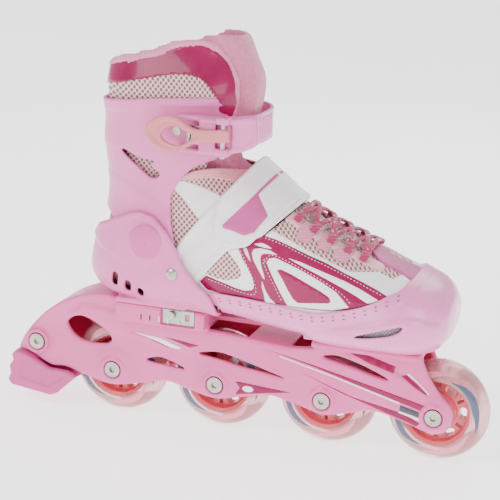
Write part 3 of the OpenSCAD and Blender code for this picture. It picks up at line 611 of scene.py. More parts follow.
def toe_shell():
    s = Space((-68, -52, 76), (128, 52, 142), COARSE)
    pod = inside(outline([(24, 82.5), (29.4, 85.4), (38, 90.8), (48, 95), (61, 98.8), (74, 102.7), (87, 107),
                          (96.8, 109),
                          (103.3, 108.7), (110, 106.3), (116.6, 103), (119, 92)], [(119, 60), (20, 60)]), s)
    trim = inside(outline(SHELL_TOP, [(135, 140), (135, 70), (-32.5, 70), (-32.5, 96), (-66, 97)]), s)
    beside = swell(20 - np.abs(s.y), 1, 14)
    d = s.foot() - beside * swell(pod, 1.7, 4) - swell(pod + 3.5, 0.7,
                                                       5) * beside - crease(trim + 8, 0.35, 1.0)
    wall = both(layer(d, 0.3, 3.0), trim, 0.9)
    slot = inside(smooth_loop([(64.8, 93.3), (74.5, 97.2), (84.2, 100.4), (95.2, 103.8), (94.4, 100.7),
                               (88, 97),
                               (77, 94.1), (68, 92.6)]), s)
    wall = less(wall, np.maximum(slot, 30 - np.abs(s.y)), 1.0)
    wall = either(wall, block(s, (24, -24, 78.4), (102, 24, 81.5), 0.8), 1.5)
    piece("toe_shell_body", s, wall, TOE, "toe", "toe_plastic", "toe_shell")


FRAME_LOW = [(-190, 41), (-179, 38), (-165, 31), (-152, 31), (-136, 26.5), (-117, 23.5), (-97, 26.5),
             (-76, 31.5),
             (-57, 27.5), (-38, 25), (-18, 28.5), (0, 32.5), (20, 29), (40, 25.5), (56, 28), (73, 32.5),
             (90, 29.5),
             (105, 25.5)]
FRAME_NOSE = [(115, 22.5), (124, 26), (128, 34), (126.5, 43), (119, 50.5), (111, 61), (106, 71)]
FRAME_TOP = [(104.5, 78), (36, 78), (30, 71.5), (14, 70), (-17, 72), (-45, 74), (-46, 75)]
FRAME_BACK = [(-112, 75), (-113, 87.5), (-134, 88), (-152, 82), (-166, 73), (-178, 61), (-186, 50)]
CHANNEL = [(-200, -10), (-200, 45), (-192, 45), (-180, 52), (-171, 61), (-160, 70.5), (-148, 77),
           (-132, 82.5),
           (-112, 82.5), (-112, 74), (-46, 74), (-46, 95), (-17, 95), (-17, 67), (14, 67), (14, 95), (30, 95),
           (30, 73.5), (104.4, 73.5), (104.4, 95), (140, 95), (140, -10)]
WINDOWS = [
    [(-152, 64), (-145, 70.5), (-136, 70.5), (-124, 64.5), (-117.5, 57), (-121, 53), (-134, 52), (-145, 55)],
    [(-91, 44.8), (-83, 48.3), (-74, 47.3), (-61, 42.2), (-76, 43)],
    [(-52, 55.5), (-43, 58.3), (-33, 58.5), (-14, 54), (11, 46.8), (-5, 48.6), (-21, 50.3), (-36, 53)],
    [(37, 66.5), (44, 68.4), (51, 68), (67, 63.7), (84, 56.5), (72, 58), (60, 61.3), (48, 63.8)]]


def frame_relief(s):
    """How far the frame's side stands out: its beam, and the swellings round the axles."""
    beam = inside(outline([(-150, 71), (-133.6, 66.6), (-90.8, 59.4), (-50.7, 55), (16.1, 46.8), (79.2, 37.7),
                           (114, 31), (121, 36), (112, 49), (92, 60.4), (60, 71), (36, 76)],
                          [(14, 69), (-17, 71), (-45, 73), (-112, 78), (-140, 80)]), s)
    relief = swell(beam, 1.3, 4)
    for x in AXLES:
        relief = np.maximum(relief, swell(np.hypot(s.x - x, s.z - AXLE_Z) - 15, 1.5, 9))
    groove = from_line([(-4, 66.1), (31.3, 58.6), (78.4, 48.2), (110, 39.6)], s)
    return relief + crease(groove, 0.5, 1.2)


def chassis():
    s = Space((-194, -28, 18), (132, 28, 92), COARSE)
    side = np.abs(s.y)
    body = both(side - (HALF_W + frame_relief(s)), inside(np.concatenate(
        [smooth_line(FRAME_LOW), smooth_line(FRAME_NOSE), FRAME_TOP, smooth_line(FRAME_BACK)]), s), 1.4)
    body = less(body, both(inside(CHANNEL, s), side - (HALF_W - WALL_T)), 0.5)
    for window in WINDOWS:
        body = less(body, inside(smooth_loop(window), s), 1.3)
    deck = block(s, (-112, -27, 74), (-46, 27, 87.5), 2)
    deck = less(deck, block(s, (-78, -40, 75.4), (-53, -23.2, 95), 0.5), 0.5)
    body = either(either(body, deck, 2), block(s, (30, -25, 73.5), (104.4, 25, 78), 1.2), 2)
    for x, z in [(a, AXLE_Z) for a in AXLES] + [BRAKE]:
        r = np.hypot(s.x - x, s.z - z)
        body = either(body, both(r - 9.2, np.abs(side - 18) - 4, 0.8), 1.5)
        body = less(less(body, np.maximum(r - 6.5, 19 - side), 0.5), r - 4.05)
    piece("frame_body", s, body, FRAME, "frame", "shell_plastic", "frame")
    # the channel's inner faces: a sheet of deeper, redder pink than the frame, painted shade inside the
    # channel
    inner = both(np.maximum(side - (HALF_W - WALL_T + 0.25), (HALF_W - WALL_T - 1.2) - side),
                 inside(np.concatenate(
        [smooth_line(FRAME_LOW), smooth_line(FRAME_NOSE), FRAME_TOP, smooth_line(FRAME_BACK)]), s) + 1.5, 0.3)
    inner = both(inner, inside(CHANNEL, s))
    for window in WINDOWS:
        inner = less(inner, inside(smooth_loop(window), s) - 0.4)
    for x in AXLES:
        inner = less(inner, np.hypot(s.x - x, s.z - AXLE_Z) - 7)
    piece("frame_channel_shade", s, inner, CHANNEL_SHADE, "frame", "shell_plastic")


def brake():
    s = Space((-200, -25, 5), (-138, 25, 58), FINE)
    side = np.abs(s.y)
    shape = [(-191, 39.2), (-194, 36), (-193, 31), (-196, 27), (-195, 21), (-197, 16), (-194, 12.4),
             (-163, 8.6),
             (-158, 11), (-143, 25.5), (-151, 28.6), (-165, 29), (-179, 36), (-190, 39.2)]
    hollow = [(-186, 34), (-187, 18), (-163, 14.8), (-155, 5), (-125, 5), (-125, 40), (-164, 40), (-178, 33)]
    panel = [(-186, 33), (-187, 19), (-165, 15), (-157, 20), (-152, 25), (-166, 26), (-178, 31)]
    pad = both(side - (23 - swell(inside(panel, s), 0.9, 2)), inside(shape, s), 1.6)
    pad = less(pad, np.maximum(inside(hollow, s), side - 18), 0.8)
    tang = both(inside([(-185, 34), (-168, 34), (-168, 54), (-177, 54), (-181, 50)], s), side - 14.6, 1)
    pad = less(either(pad, tang, 1), np.hypot(s.x - BRAKE[0], s.z - BRAKE[1]) - 3.05)
    piece("brake_block", s, pad, BRAKE_RUBBER, "frame", "brake_rubber", "brake_pad")


# ---------- buckle ----------

LADDER_PATH = [(-52, 46.4), (-38, 45.4), (-26, 37), (-18.6, 22), (-16.6, 4), (-17.2, -16), (-20, -32),
               (-24.6, -42),
               (-31, -48.6), (-40, -50.4)]
LEVER_AT = (-27.5, -55.2)
BASE_RIVETS = [(-62, 216), (-46, 217)]


def buckle():
    s = Space((-70, -62, 200), (-3, -34, 234), FINE)
    plan = outline([(-61.4, 226.7), (-61.6, 215), (-60, 204.5), (-57, 202.9)], [(-40, 203.6), (-24.8, 205.2)],
                   [(-14.9, 207.5), (-8, 210.8), (-4.4, 214.2)], [(-4.6, 222), (-5.4, 230.6)],
                   [(-8, 231.2), (-25.7, 228.2), (-44, 227.4)])
    shape = inside(plan, s)
    y = s.y + 0 * shape
    base = both(layer(y, -47.4, -44.8), shape, 0.9)
    rim = swell(np.abs(shape + 1.9) - 1.3, 0.7, 1.2)
    cover = both(both(layer(y, -54.2 - rim, -45.2), shape, 1.6), -44.5 - s.x, 1.2)
    cover = less(cover, block(s, (-42, -52.4, 206.0), (-10, -40, 226.2), 0.8), 0.3)
    cover = less(cover, block(s, (-33, -62, 208.6), (-22, -51, 224.8), 1.0), 0.5)
    for z0, z1 in ((203.4, 206.6), (224.6, 228)):
        base = either(base, block(s, (-60, -52.4, z0), (-40, -45, z1), 1.4), 1.2)
    base = either(base, cover, 1.5)
    for z0, z1 in ((203.8, 208.8), (224.6, 229)):
        base = either(base, block(s, (-32, -58.2, z0), (-23, -46, z1), 1.3), 1.0)
    base = less(base, block(s, (-44, -50.4, 206.3), (6, -44, 225.8), 0.6))
    for x, z in BASE_RIVETS:
        base = either(base, both(np.hypot(s.x - x, s.z - z) - 4, layer(s.y, -46, -34), 0.3), 0.8)
    base = less(base, s.foot() - 3.1)
    piece("buckle_housing", s, base, SHELL, "cuff", "buckle_plastic", "buckle_base", "buckle_frame",
          "pawl_pin")


def lever():
    s = Space((-88, -62, 201), (-19, -49, 230), FINE)
    ring = smooth_loop([(-79.9, 214.2), (-79, 220.4), (-73.4, 225.3), (-66.1, 227.6), (-56.9, 226.4),
                        (-50.5, 222.6),
                        (-44, 220.6), (-34, 220.9), (-23.4, 221.4), (-22.4, 217.6), (-22.8, 214),
                        (-33, 212.9),
                        (-42.7, 212.1), (-48.1, 209.8), (-56.3, 205), (-61.8, 204), (-71.1, 206.2),
                        (-76.8, 210.1)], 5)
    hole = smooth_loop([(-69, 214.8), (-65.9, 219.4), (-61.3, 221.2), (-56.7, 220.6), (-51.9, 218.5),
                        (-48, 217),
                        (-47.6, 214.4), (-51.6, 211.2), (-56.4, 208.8), (-61.9, 209.4), (-66.6, 211.4)], 5)
    rim = inside(ring, s)
    opening = inside(hole, s)
    dish = swell(rim + 3.0, 0.8, 2.4) * ease(-s.x, 40, 48) * (1 - swell(opening - 2, 1, 3))
    body = both(np.maximum(-58.8 + dish - s.y, s.y + 55.2), rim, 1.3)
    body = less(body, opening, 1.1)
    barrel = np.hypot(s.x - LEVER_AT[0], s.y - LEVER_AT[1])
    body = either(body, both(barrel - 3.4, np.abs(s.z - 217.6) - 3.6, 0.7), 1.2)
    piece("buckle_lever_fork", s, less(body, barrel - 1.55), LEVER, "lever", "buckle_plastic", "buckle_lever")


def ladder():
    s = Space((-58, -55, 203), (-8, 50, 229), FINE)
    path = smooth_line(LADDER_PATH)
    x, y = s.x, s.y
    best = np.full((x.shape[0], y.shape[1], 1), 1e9, np.float32)
    along = np.zeros_like(best)
    gone = 0.0
    for (ax, ay), (bx, by) in zip(path[:-1], path[1:]):
        ex, ey = bx - ax, by - ay
        size = math.hypot(ex, ey)
        t = np.clip(((x - ax) * ex + (y - ay) * ey) / size**2, 0, 1)
        gap = (x - ax - ex * t) ** 2 + (y - ay - ey * t) ** 2
        along = np.where(gap < best, gone + t * size, along)
        best = np.minimum(best, gap)
        gone += size
    d = np.sqrt(best)
    edge = swell(-(9.2 - np.abs(s.z - 216)), 0.45, 1.2)
    strap = both(d - (1.45 - edge * 0.9), np.abs(s.z - 216) - 10.2, 0.7)
    steps = swell(np.abs(((along - 55) % 4.6) - 2.3) - 1.2, 0.9, 0.8) * (along > 55)
    teeth = both(d - 1.1 - steps, np.abs(s.z - 216) - 7.5, 0.4)
    strap = either(strap, teeth, 0.4)
    strap = less(strap, np.hypot(s.x + 46, s.z - 216) - 2.1 + 0 * s.y)
    piece("ladder_band", s, strap, LADDER, "cuff", "ladder_plastic", "ladder_strap")


# ---------- boot: soft parts ----------

def upper_band(s):
    """Outline of the toe half's fabric, open over the instep for the tongue."""
    trim = inside([(-58, 96.4), (-58, 137.5), (-44, 138.5), (-26, 138.5), (-8, 146.5), (-2.6, 150.4),
                   (6.2, 158.6),
                   (17, 170.5), (135, 175), (135, 82), (30, 82), (-12, 96.4)], s)
    throat = inside(smooth_loop([(2, 185), (11, 168), (24, 155), (44, 146), (66, 141.5), (74, 146),
                                 (80, 185)]), s)
    return both(trim, -both(throat, np.abs(s.y) - 16.5, 6), 0.4)


# From here to SIDE_MESH the points were projected by a helper program onto the foot surface.
SWOOSH_BASE = [(-19, 141), (-15.5, 134), (-11.5, 128), (-8, 122), (-6.5, 116), (-7.5, 113.5), (-13, 112),
               (-20, 113),
               (-27, 115), (-34.5, 117), (-41, 119), (-45.5, 114), (-40.5, 108.8), (-31, 107.4), (-9, 106.8),
               (9.5, 106.4),
               (32, 106.6), (49, 108), (61.5, 110.8), (72, 115), (84, 120.6), (76, 124.4), (66, 128.2),
               (54, 132.4),
               (42, 137), (28, 141.4), (16, 145.6), (5.5, 149), (-3, 151), (-7.5, 147.6), (-12.5, 143.8)]
WHITE_BANDS = [
    [(16, 138.5), (25, 136.8), (34.5, 134), (45, 131), (55.5, 128), (66.5, 124), (78.5, 118.6), (72, 116),
     (64, 120),
     (53.5, 124.4), (42.5, 128.6), (32.5, 132.2), (23.5, 135.4)],
    [(8.5, 139.7), (3.5, 142), (-3.5, 142.7), (-7.8, 141.7), (-9, 139), (-7.7, 134.4), (-4.4, 129),
     (-0.6, 123.4),
     (1, 122), (0.2, 125.4), (-1.9, 131), (-2.9, 135), (-2.7, 138), (-1, 139.4), (3.6, 139.8)],
    [(-15.3, 141.4), (-12.8, 141.6), (-11, 137.4), (-9.4, 133), (-11.4, 135), (-13.7, 138)],
    [(-8.1, 145), (-3, 146.3), (1.3, 145), (4.4, 143.2), (-0.3, 143.3), (-5.5, 144.2)],
    [(-0.9, 121), (1.6, 115.2), (5.3, 109.7), (9.6, 106.6), (1.8, 106.4), (0.8, 111.6), (-1, 117.4)],
    [(1.7, 134), (3, 136.8), (7.2, 137.8), (14.3, 135.6), (26.8, 131.5), (39, 126.6), (50.7, 121), (60, 112),
     (49, 108.6),
     (32, 107.4), (17.8, 106.8), (13.2, 113.6), (8.4, 121.4), (4, 129.3)]]
WEDGE = [(9.3, 129.5), (11.4, 131), (18.6, 129), (29.4, 124.7), (40, 120.4), (46.2, 117.2), (47.6, 114.8),
         (46.4, 113),
         (37, 111.7), (25, 110), (21.4, 112.5), (17.5, 117.8), (13.6, 124)]
SIDE_MESH = [(-27, 139), (-23.4, 134.4), (-18.8, 129.3), (-16, 125), (-16.2, 122), (-19.3, 119.4),
             (-26.4, 117.4),
             (-32.7, 117.8), (-38, 119.2), (-44, 121), (-38, 128), (-31, 135)]
LACE_WEBS = [[(19.4, 159), (29, 155), (26.7, 147.3), (18, 150)],
             [(45.3, 146.6), (55.5, 143.2), (53.2, 137.3), (43.7, 140.3)],
             [(33, 153), (41, 150), (40, 143), (32.4, 145.6)]]
TOE_STRIP = [(54, 12), (60, -4), (67, -12.5), (74, -17), (84, -17), (106, -20), (106, 13), (87, 8), (76, 6),
             (66, 9)]
EYE_ROWS = [(21, 17), (33, 18), (45, 19), (57, 20),
            (68, 20.5)]      # lace loops: x and half the gap between them


def vamp():
    s = Space((-60, -50, 80), (124, 50, 172), COARSE)
    d, trim = s.foot(), upper_band(s)
    piece("vamp_mesh", s, both(layer(d, -2.6, -0.3), trim, 0.5), MESH, "toe", "mesh_fabric", "toe_upper")
    low = inside([(-58, 100), (-58, 139), (-26, 139), (-8, 146.5), (-0.4, 155.5), (29.1, 142.9),
                  (56.8, 133.1),
                  (73.4, 132.9), (83.1, 128.9), (96, 133), (125, 120), (125, 90)], s)
    piece("vamp_panel", s, both(both(layer(d, -1.8, 0.25), trim, 0.5), low, 0.5), PANEL, "toe", "mesh_fabric")
    stay = both(both(layer(d, -1.8, 0.5), trim, 0.5), both(np.abs(np.abs(s.y) - 21.5) - 5, s.x - 76, 3), 0.5)
    piece("eyestay", s, both(stay, 4 - s.x, 0.5), PEACH_HIDE, "toe", "mesh_fabric")
    strip = inside(smooth_loop(TOE_STRIP, 4), SimpleNamespace(x=s.x,
                                                              z=s.y.transpose(0, 2, 1))).transpose(0, 2, 1)
    strip = both(strip, s.x - 101, 0.5) + 0 * s.z
    rim = swell(np.abs(strip + 1.6) - 0.9, 0.35, 0.8)
    tip = both(np.maximum(-1.6 - d, d - 0.9 - rim), both(strip, 118 - s.z, 0.5), 0.6)
    piece("toe_overlay", s, tip, PAD, "toe", "trim_magenta")


def vamp_trim():
    patch("side_mesh", [SIDE_MESH], on_side, 0.55, 1.0, MESH, "toe", "mesh_fabric")
    patch("swoosh_base", [SWOOSH_BASE], on_side, 0.85, 1.4, MAGENTA, "toe", "trim_magenta")
    patch("white_bands", WHITE_BANDS, on_side, 1.25, 1.0, PANEL, "toe", "mesh_fabric")
    patch("wedge", [WEDGE], on_side, 1.6, 1.0, MAGENTA, "toe", "trim_magenta")
    patch("lace_webs", LACE_WEBS, on_side, 1.2, 1.4, WEB, "toe", "lace_cord")


def tongue_low():
    s = Space((0, -24, 118), (96, 24, 166), COARSE)
    trim = both(inside([(9, 164), (9, 148), (40, 134), (92, 122), (92, 134), (60, 147), (26, 164)], s),
                np.abs(s.y) - 21, 1)
    lift = 2.2 * np.exp(-((s.y / 13.0) ** 2))
    obj = piece("tongue_vamp", s, both(layer(s.foot() - lift, -5.6, -2.2), trim, 1.2), PRICKED, "toe",
                "tongue_fabric",
                "tongue_base")


def tube(points, width, height, normals, around=10):
    """A flat oval tube along points, its height along the normals. Returns points and quads."""
    points, normals = np.asarray(points, float), np.asarray(normals, float)
    ahead = np.gradient(points, axis=0)
    ahead /= np.linalg.norm(ahead, axis=1)[:, None]
    across = np.cross(ahead, normals)
    across /= np.linalg.norm(across, axis=1)[:, None]
    up = np.cross(across, ahead)
    a = np.linspace(0, 2 * math.pi, around, endpoint=False)
    ring = (across[:, None] * (np.cos(a)[None, :, None] * width / 2)
            + up[:, None] * (np.sin(a)[None, :, None] * height / 2))
    scale = np.ones(len(points))
    scale[[0, -1]] = 0.35
    p = (points[:, None] + ring * scale[:, None, None]).reshape(-1, 3)
    i, j = np.meshgrid(np.arange(len(points) - 1), np.arange(around), indexing="ij")
    k = (j + 1) % around
    quads = np.stack([i * around + j, i * around + k, (i + 1) * around + k, (i + 1) * around + j],
                     -1).reshape(-1, 4)
    m, last = around // 2, (len(points) - 1) * around
    caps = [[o + (n if o else -n) % around for n in (c, c + 1, around - 2 - c, around - 1 - c)]
            for o in (0, last) for c in range(m - 1)]
    return p, np.concatenate([quads, caps])


def tubes(name, runs, material, body, slot, *nodes):
    """One object of several tubes."""
    points, quads, n = [], [], 0
    for p, q in runs:
        points.append(p)
        quads.append(q + n)
        n += len(p)
    obj = make_mesh(name, np.concatenate(points), np.concatenate(quads), material)
    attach(obj, body)
    if nodes:
        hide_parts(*nodes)
    return obj


def foot_distance(p):
    return at_points(FOOT_FIELD, FOOT_LOW, FOOT_STEP, np.asarray(p, float))


def foot_normal(p):
    """Unit normals of the foot surface at points."""
    g = np.stack([foot_distance(p + e) - foot_distance(p - e) for e in np.eye(3)], 1)
    return g / np.linalg.norm(g, axis=1)[:, None]


def drop(p, height, steps=8):
    """Moves points along the surface's normal until they are at that distance from it."""
    p = np.array(p, float)
    for _ in range(steps):
        p += foot_normal(p) * np.clip(height - foot_distance(p), -6, 6)[:, None]
    return p


def on_side(line, height, side=-1, rise=None):
    """Points in x and z, laid on the boot's side at a height over the foot's surface and over a rise in y."""
    line = np.asarray(line, float)
    y = np.arange(0, 60, 0.5)
    grid = np.stack(np.broadcast_arrays(line[:, None, 0], side * y[None], line[:, None, 1]), -1)
    d = foot_distance(grid.reshape(-1, 3)).reshape(len(line), -1) - np.reshape(height, (-1, 1))
    if rise:
        d = d - rise(side * y)[None]
    beyond = np.argmax(d > 0, axis=1)
    k = np.clip(beyond, 1, None)
    rows = np.arange(len(line))
    f = d[rows, k - 1] / (d[rows, k - 1] - d[rows, k] + 1e-9)
    return np.stack([line[:, 0], side * (y[k - 1] + 0.5 * np.clip(f, 0, 1)), line[:, 1]], 1)


def on_frame(p, height, side=-1):
    """Points in x and z, laid on the frame's side."""
    spots = SimpleNamespace(x=p[:, 0, None, None], z=p[:, 1, None, None])
    return np.stack([p[:, 0], side * (HALF_W + frame_relief(spots).ravel() + height), p[:, 1]], 1)


def plate_grid(loop, rim=0.55, grid=2.4):
    """Triangles over a closed outline, densest at its rim. Returns points, triangles and depths inside it."""
    ring = even(np.vstack([loop, loop[:1]]), 1.2)
    x, z = ring.T
    if (x * np.roll(z, -1) - np.roll(x, -1) * z).sum() < 0:
        ring = ring[::-1]

    def depth(p):
        return -inside(ring, SimpleNamespace(x=p[:, 0, None, None], z=p[:, 1, None, None])).ravel()

    ahead = np.roll(ring, -1, 0) - np.roll(ring, 1, 0)
    inward = np.stack([-ahead[:, 1], ahead[:, 0]],
                      1) / np.maximum(np.linalg.norm(ahead, axis=1), 1e-6)[:, None]
    inner = ring + rim * inward
    low, high = ring.min(0), ring.max(0)
    field = np.stack([v.ravel() for v in np.meshgrid(np.arange(low[0], high[0], grid),
                                                     np.arange(low[1], high[1], grid))], 1)
    p = np.concatenate([ring, inner[depth(inner) > 0.8 * rim], field[depth(field) > rim + 0.7]])
    out = delaunay_2d_cdt([Vector(v) for v in p], [], [list(range(len(ring)))], 1, 1e-3)
    flat = np.array([v[:] for v in out[0]])
    return flat, np.array(out[2]), depth(flat)


def patch(name, loops, lay, height, thick, material, body, slot, *nodes, sides=(-1, 1)):
    """Thin plates with rounded rims over closed outlines in x and z, laid on the sides by lay(points,
    height, side)."""
    points, faces, n = [], [], 0
    for loop in loops:
        flat, tris, depth = plate_grid(np.asarray(loop, float))
        edges = tris[:, [0, 1, 1, 2, 2, 0]].reshape(-1, 2)
        known = {tuple(e) for e in edges.tolist()}
        rim = np.array([e for e in edges.tolist() if (e[1], e[0]) not in known])
        m = len(flat)
        round_off = 0.3 * (1 - np.clip(depth / 0.5, 0, 1))
        walls = np.concatenate([np.stack([rim[:, 1], rim[:, 0], rim[:, 0] + m], 1),
                                np.stack([rim[:, 1], rim[:, 0] + m, rim[:, 1] + m], 1)])
        shell = np.concatenate([tris, tris[:, ::-1] + m, walls])
        for side in sides:
            points.append(np.concatenate([lay(flat, height - round_off, side),
                                          lay(flat, height - thick + 0 * depth, side)]))
            faces.append((shell if side < 0 else shell[:, ::-1]) + n)
            n += 2 * m
    obj = make_mesh(name, np.concatenate(points), np.concatenate(faces), material)
    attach(obj, body)
    if nodes:
        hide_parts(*nodes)
    return obj


def even(line, pitch):
    """Points along a line at an even pitch."""
    line = np.asarray(line, float)
    gone = np.concatenate([[0], np.cumsum(np.linalg.norm(np.diff(line, axis=0), axis=1))])
    at = np.arange(0, gone[-1], pitch)
    return np.stack([np.interp(at, gone, line[:, k]) for k in range(line.shape[1])], 1)


def stitches(name, lines, height, material, body, slot, pitch=2.6, size=1.7, thick=0.55, sides=(-1, 1)):
    """Rows of stitches along lines in x and z on the boot's sides."""
    runs = []
    for side in sides:
        for line in lines:
            place = on_side(even(smooth_line(line, 12), pitch / 8), height, side)
            half = max(1, round(8 * size / pitch / 2))
            for c in range(half, len(place) - half, 8):
                part = place[c - half:c + half + 1]
                runs.append(tube(part, thick, thick * 0.8, foot_normal(part), 6))
    tubes(name, runs, material, body, slot)


def laces():
    """Crossed laces from loop to loop over the tongue."""
    runs = []
    for (x0, h0), (x1, h1) in zip(EYE_ROWS[:-1], EYE_ROWS[1:]):
        for side in (-1, 1):
            f = np.linspace(0, 1, 25)[:, None]
            flat = np.hstack([x0 + (x1 - x0) * f, side * (h0 + 3 - (h0 + h1 + 6) * f),
                              175 - 0.3 * x0 + 0 * f])
            base = drop(flat, 2.6, 14)
            lift = (1.6 + 0.9 * (side > 0)) * np.sin(math.pi * f) + 0.6
            normal = foot_normal(base)
            runs.append(tube(base + normal * lift, 4.0, 2.6, normal))
    for x, h in (EYE_ROWS[0], EYE_ROWS[-1]):
        f = np.linspace(-1, 1, 25)[:, None]
        base = drop(np.hstack([x + 0 * f, (h + 3) * f, 175 - 0.3 * x + 0 * f]), 2.6, 14)
        runs.append(tube(base + foot_normal(base) * (2.4 - 2.0 * f * f), 4.0, 2.6, foot_normal(base)))
    tubes("lace_runs", runs, LACE, "toe", "lace_cord", "laces")
    loops = []
    for x, h in EYE_ROWS:
        for side in (-1, 1):
            a = np.linspace(-0.15 * math.pi, 1.15 * math.pi, 15)[:, None]
            foot = drop([[x, side * (h + 7.5), 175 - 0.3 * x]], 0.8, 14)[0]
            n = foot_normal(foot[None])[0]
            inward = np.array([0, -side, 0]) - n * np.dot([0, -side, 0], n)
            inward /= np.linalg.norm(inward)
            arc = foot + inward * (2 + 5.2 * -np.cos(a) * -1) + n * (0.6 + 2.6 * np.sin(a))
            loops.append(tube(arc, 5.2, 1.2, np.repeat(n[None], len(arc),
                                                       0) * np.sin(a) + inward * np.cos(a) + 1e-3, 8))
    tubes("lace_tabs", loops, MAGENTA_WEB, "toe", "lace_cord", "lace_loops")


def quarter():
    s = Space((-80, -46, 128), (12, 46, 196), FINE * 1.15)
    d = s.foot()
    shape = smooth_loop([(8, 170), (1, 158.5), (-8, 149.5), (-27, 139.6), (-46, 138.6), (-60, 132),
                         (-71, 135),
                         (-73.5, 150), (-72, 168), (-66, 180), (-55, 187.5), (-40, 189), (-26, 188),
                         (-14, 186.5)], 3)
    trim = inside(shape, s)
    piece("quarter_mesh", s, both(layer(d, -2.6, -0.4), trim, 0.5), MESH, "frame", "mesh_fabric", "quarter")
    band = np.maximum(trim, inside([(-80, 200), (-80, 178), (-60.7, 181), (-45, 182.6), (-29.8, 181.6),
                                    (-10, 178),
                                    (0, 200)], s))
    piece("quarter_binding", s, both(layer(d, -2.2, 0.25), band, 0.7), PEACH, "frame", "mesh_fabric")
    stay = np.maximum(trim, inside([(-72, 181), (-61.3, 180.4), (-35, 172.6), (-30, 168), (-48.5, 156.2),
                                    (-67.5, 173.6)], s))
    piece("quarter_stay", s, both(layer(d, -1.8, 0.3), stay, 0.5), PANEL, "frame", "mesh_fabric")


STRAP_BACK = [(-66, 111), (-64, 134), (-60.5, 139.6), (-49.8, 154.5), (-38.5, 167.5), (-26.6, 181.9),
              (-18.7, 193.2),
              (-8, 205)]
STRAP_FRONT = [(26, 182), (18, 171.5), (-3.6, 150), (-26.7, 137.5), (-45, 116), (-48, 111)]
FLAP = [(-36, 151), (-34.6, 146.6), (-31.5, 143.2), (-26.1, 141.7), (-19, 141.4), (-13.4, 142.6),
        (-9.6, 145), (-3, 152.6),
        (3.1, 160.2), (14, 172.6), (24, 184), (-6, 208), (-17, 194.6), (-26.6, 182.4), (-33.4, 173),
        (-35.4, 166)]
FLAP_MARK = [(-29.5, 155.9), (-24.9, 160.9), (-12.9, 174.3), (-3.3, 187.4), (-1.5, 186.5), (-9.6, 176),
             (-0.6, 163.8),
             (-7.6, 153.4), (-14.1, 150.7), (-24, 153.2), (-29.1, 154)]


def strap():
    s = Space((-68, -48, 109), (28, 48, 200), FINE * 1.15)
    d = s.foot()
    trim = inside(STRAP_BACK + STRAP_FRONT, s)
    crest = 5.0 * np.exp(-((s.y / 15.0) ** 2))
    rim = swell(np.abs(trim + 2.6) - 1.6, 0.6, 1.4)
    band = both(np.maximum(0.2 - d, d - 2.0 - crest - rim), trim, 0.9)
    band = less(band, np.hypot(s.x - STRAP_RIVET[0], s.z - STRAP_RIVET[1]) - 2.1)
    piece("strap_band", s, band, STRAP, "frame", "strap_white", "instep_strap")


def flap_rise(y):
    """Height of the flap's underside over the foot, higher over the instep."""
    return 2.9 + 3.2 * np.exp(-(((y + 6) / 12.0) ** 2))


def on_flap(p, height, side):
    return on_side(p, height, side, flap_rise)


def flap():
    s = Space((-40, -50, 136), (28, 0, 204), FINE)
    d = s.foot() - flap_rise(s.y)
    trim = both(inside(FLAP, s), s.y + 6.5, 0.8)
    rim = swell(np.abs(trim + 2.0) - 1.2, 0.5, 1.2)
    piece("flap_band", s, both(np.maximum(-d, d - 1.7 - rim), trim, 0.8), STRAP, "flap", "strap_white",
          "strap_flap")
    patch("flap_patch", [FLAP_MARK], on_flap, 2.5, 1.6, PAD, "flap", "pad_pink", "flap_pad", sides=(-1,))


RIM = [(-136, 244), (-131, 251.5), (-117, 255.4), (-99, 259.6), (-83, 264), (-68, 270), (-55, 272),
       (-44, 268.5),
       (-34.5, 260), (-29, 247), (-27.5, 232), (-28.5, 212), (-29, 196), (-33, 189.6)]
SKIRT = [(-38, 190), (-52, 186), (-62, 174), (-72, 160), (-96, 152.5), (-114, 152), (-128, 156.5),
         (-150, 158)]


def ease(v, a, b):
    """0 before a, 1 after b, smooth between."""
    t = np.clip((v - a) / (b - a), 0, 1)
    return t * t * (3 - 2 * t)


def collar_space(low, high, step):
    """Samples round the collar: its foot distance narrows to the rim, leans forward in front, and
    tucks under the
    quarter below."""
    s = Space(low, high, step)
    x, y, z = np.broadcast_arrays(s.x, s.y, s.z)
    narrow = 1 + 0.38 * ease(z, 236, 274)
    ahead = 7 * ease(z, 208, 250) * ease(x, -95, -45)
    p = np.stack([(x - ahead).ravel(), (y * narrow).ravel(), z.ravel()], 1)
    d = at_points(FOOT_FIELD, FOOT_LOW, FOOT_STEP, p).reshape(x.shape).astype(np.float32)
    return s, d + 2.9 * ease(-z, -207, -198)


def collar_trim(s, line):
    """An outline's distance where the rim dips towards the inner side, as full samples."""
    flat = inside(line, s)[:, 0]
    _, y, z = np.broadcast_arrays(s.x, s.y, s.z)
    dip = 9 * ease(y, -34, 34) * ease(z, 225, 250)
    pos = np.clip((z + dip - s.axes[2][0]) / s.step, 0, flat.shape[1] - 1.001)
    i = pos.astype(int)
    f = pos - i
    rows = np.arange(flat.shape[0])[:, None, None]
    return (flat[rows, i] * (1 - f) + flat[rows, i + 1] * f).astype(np.float32)


def throat_gap(s):
    """The opening in front of the collar, round the tongue."""
    return np.maximum(np.abs(s.y) - 21 - 3 * ease(s.z, 262, 200), -62 - s.x)


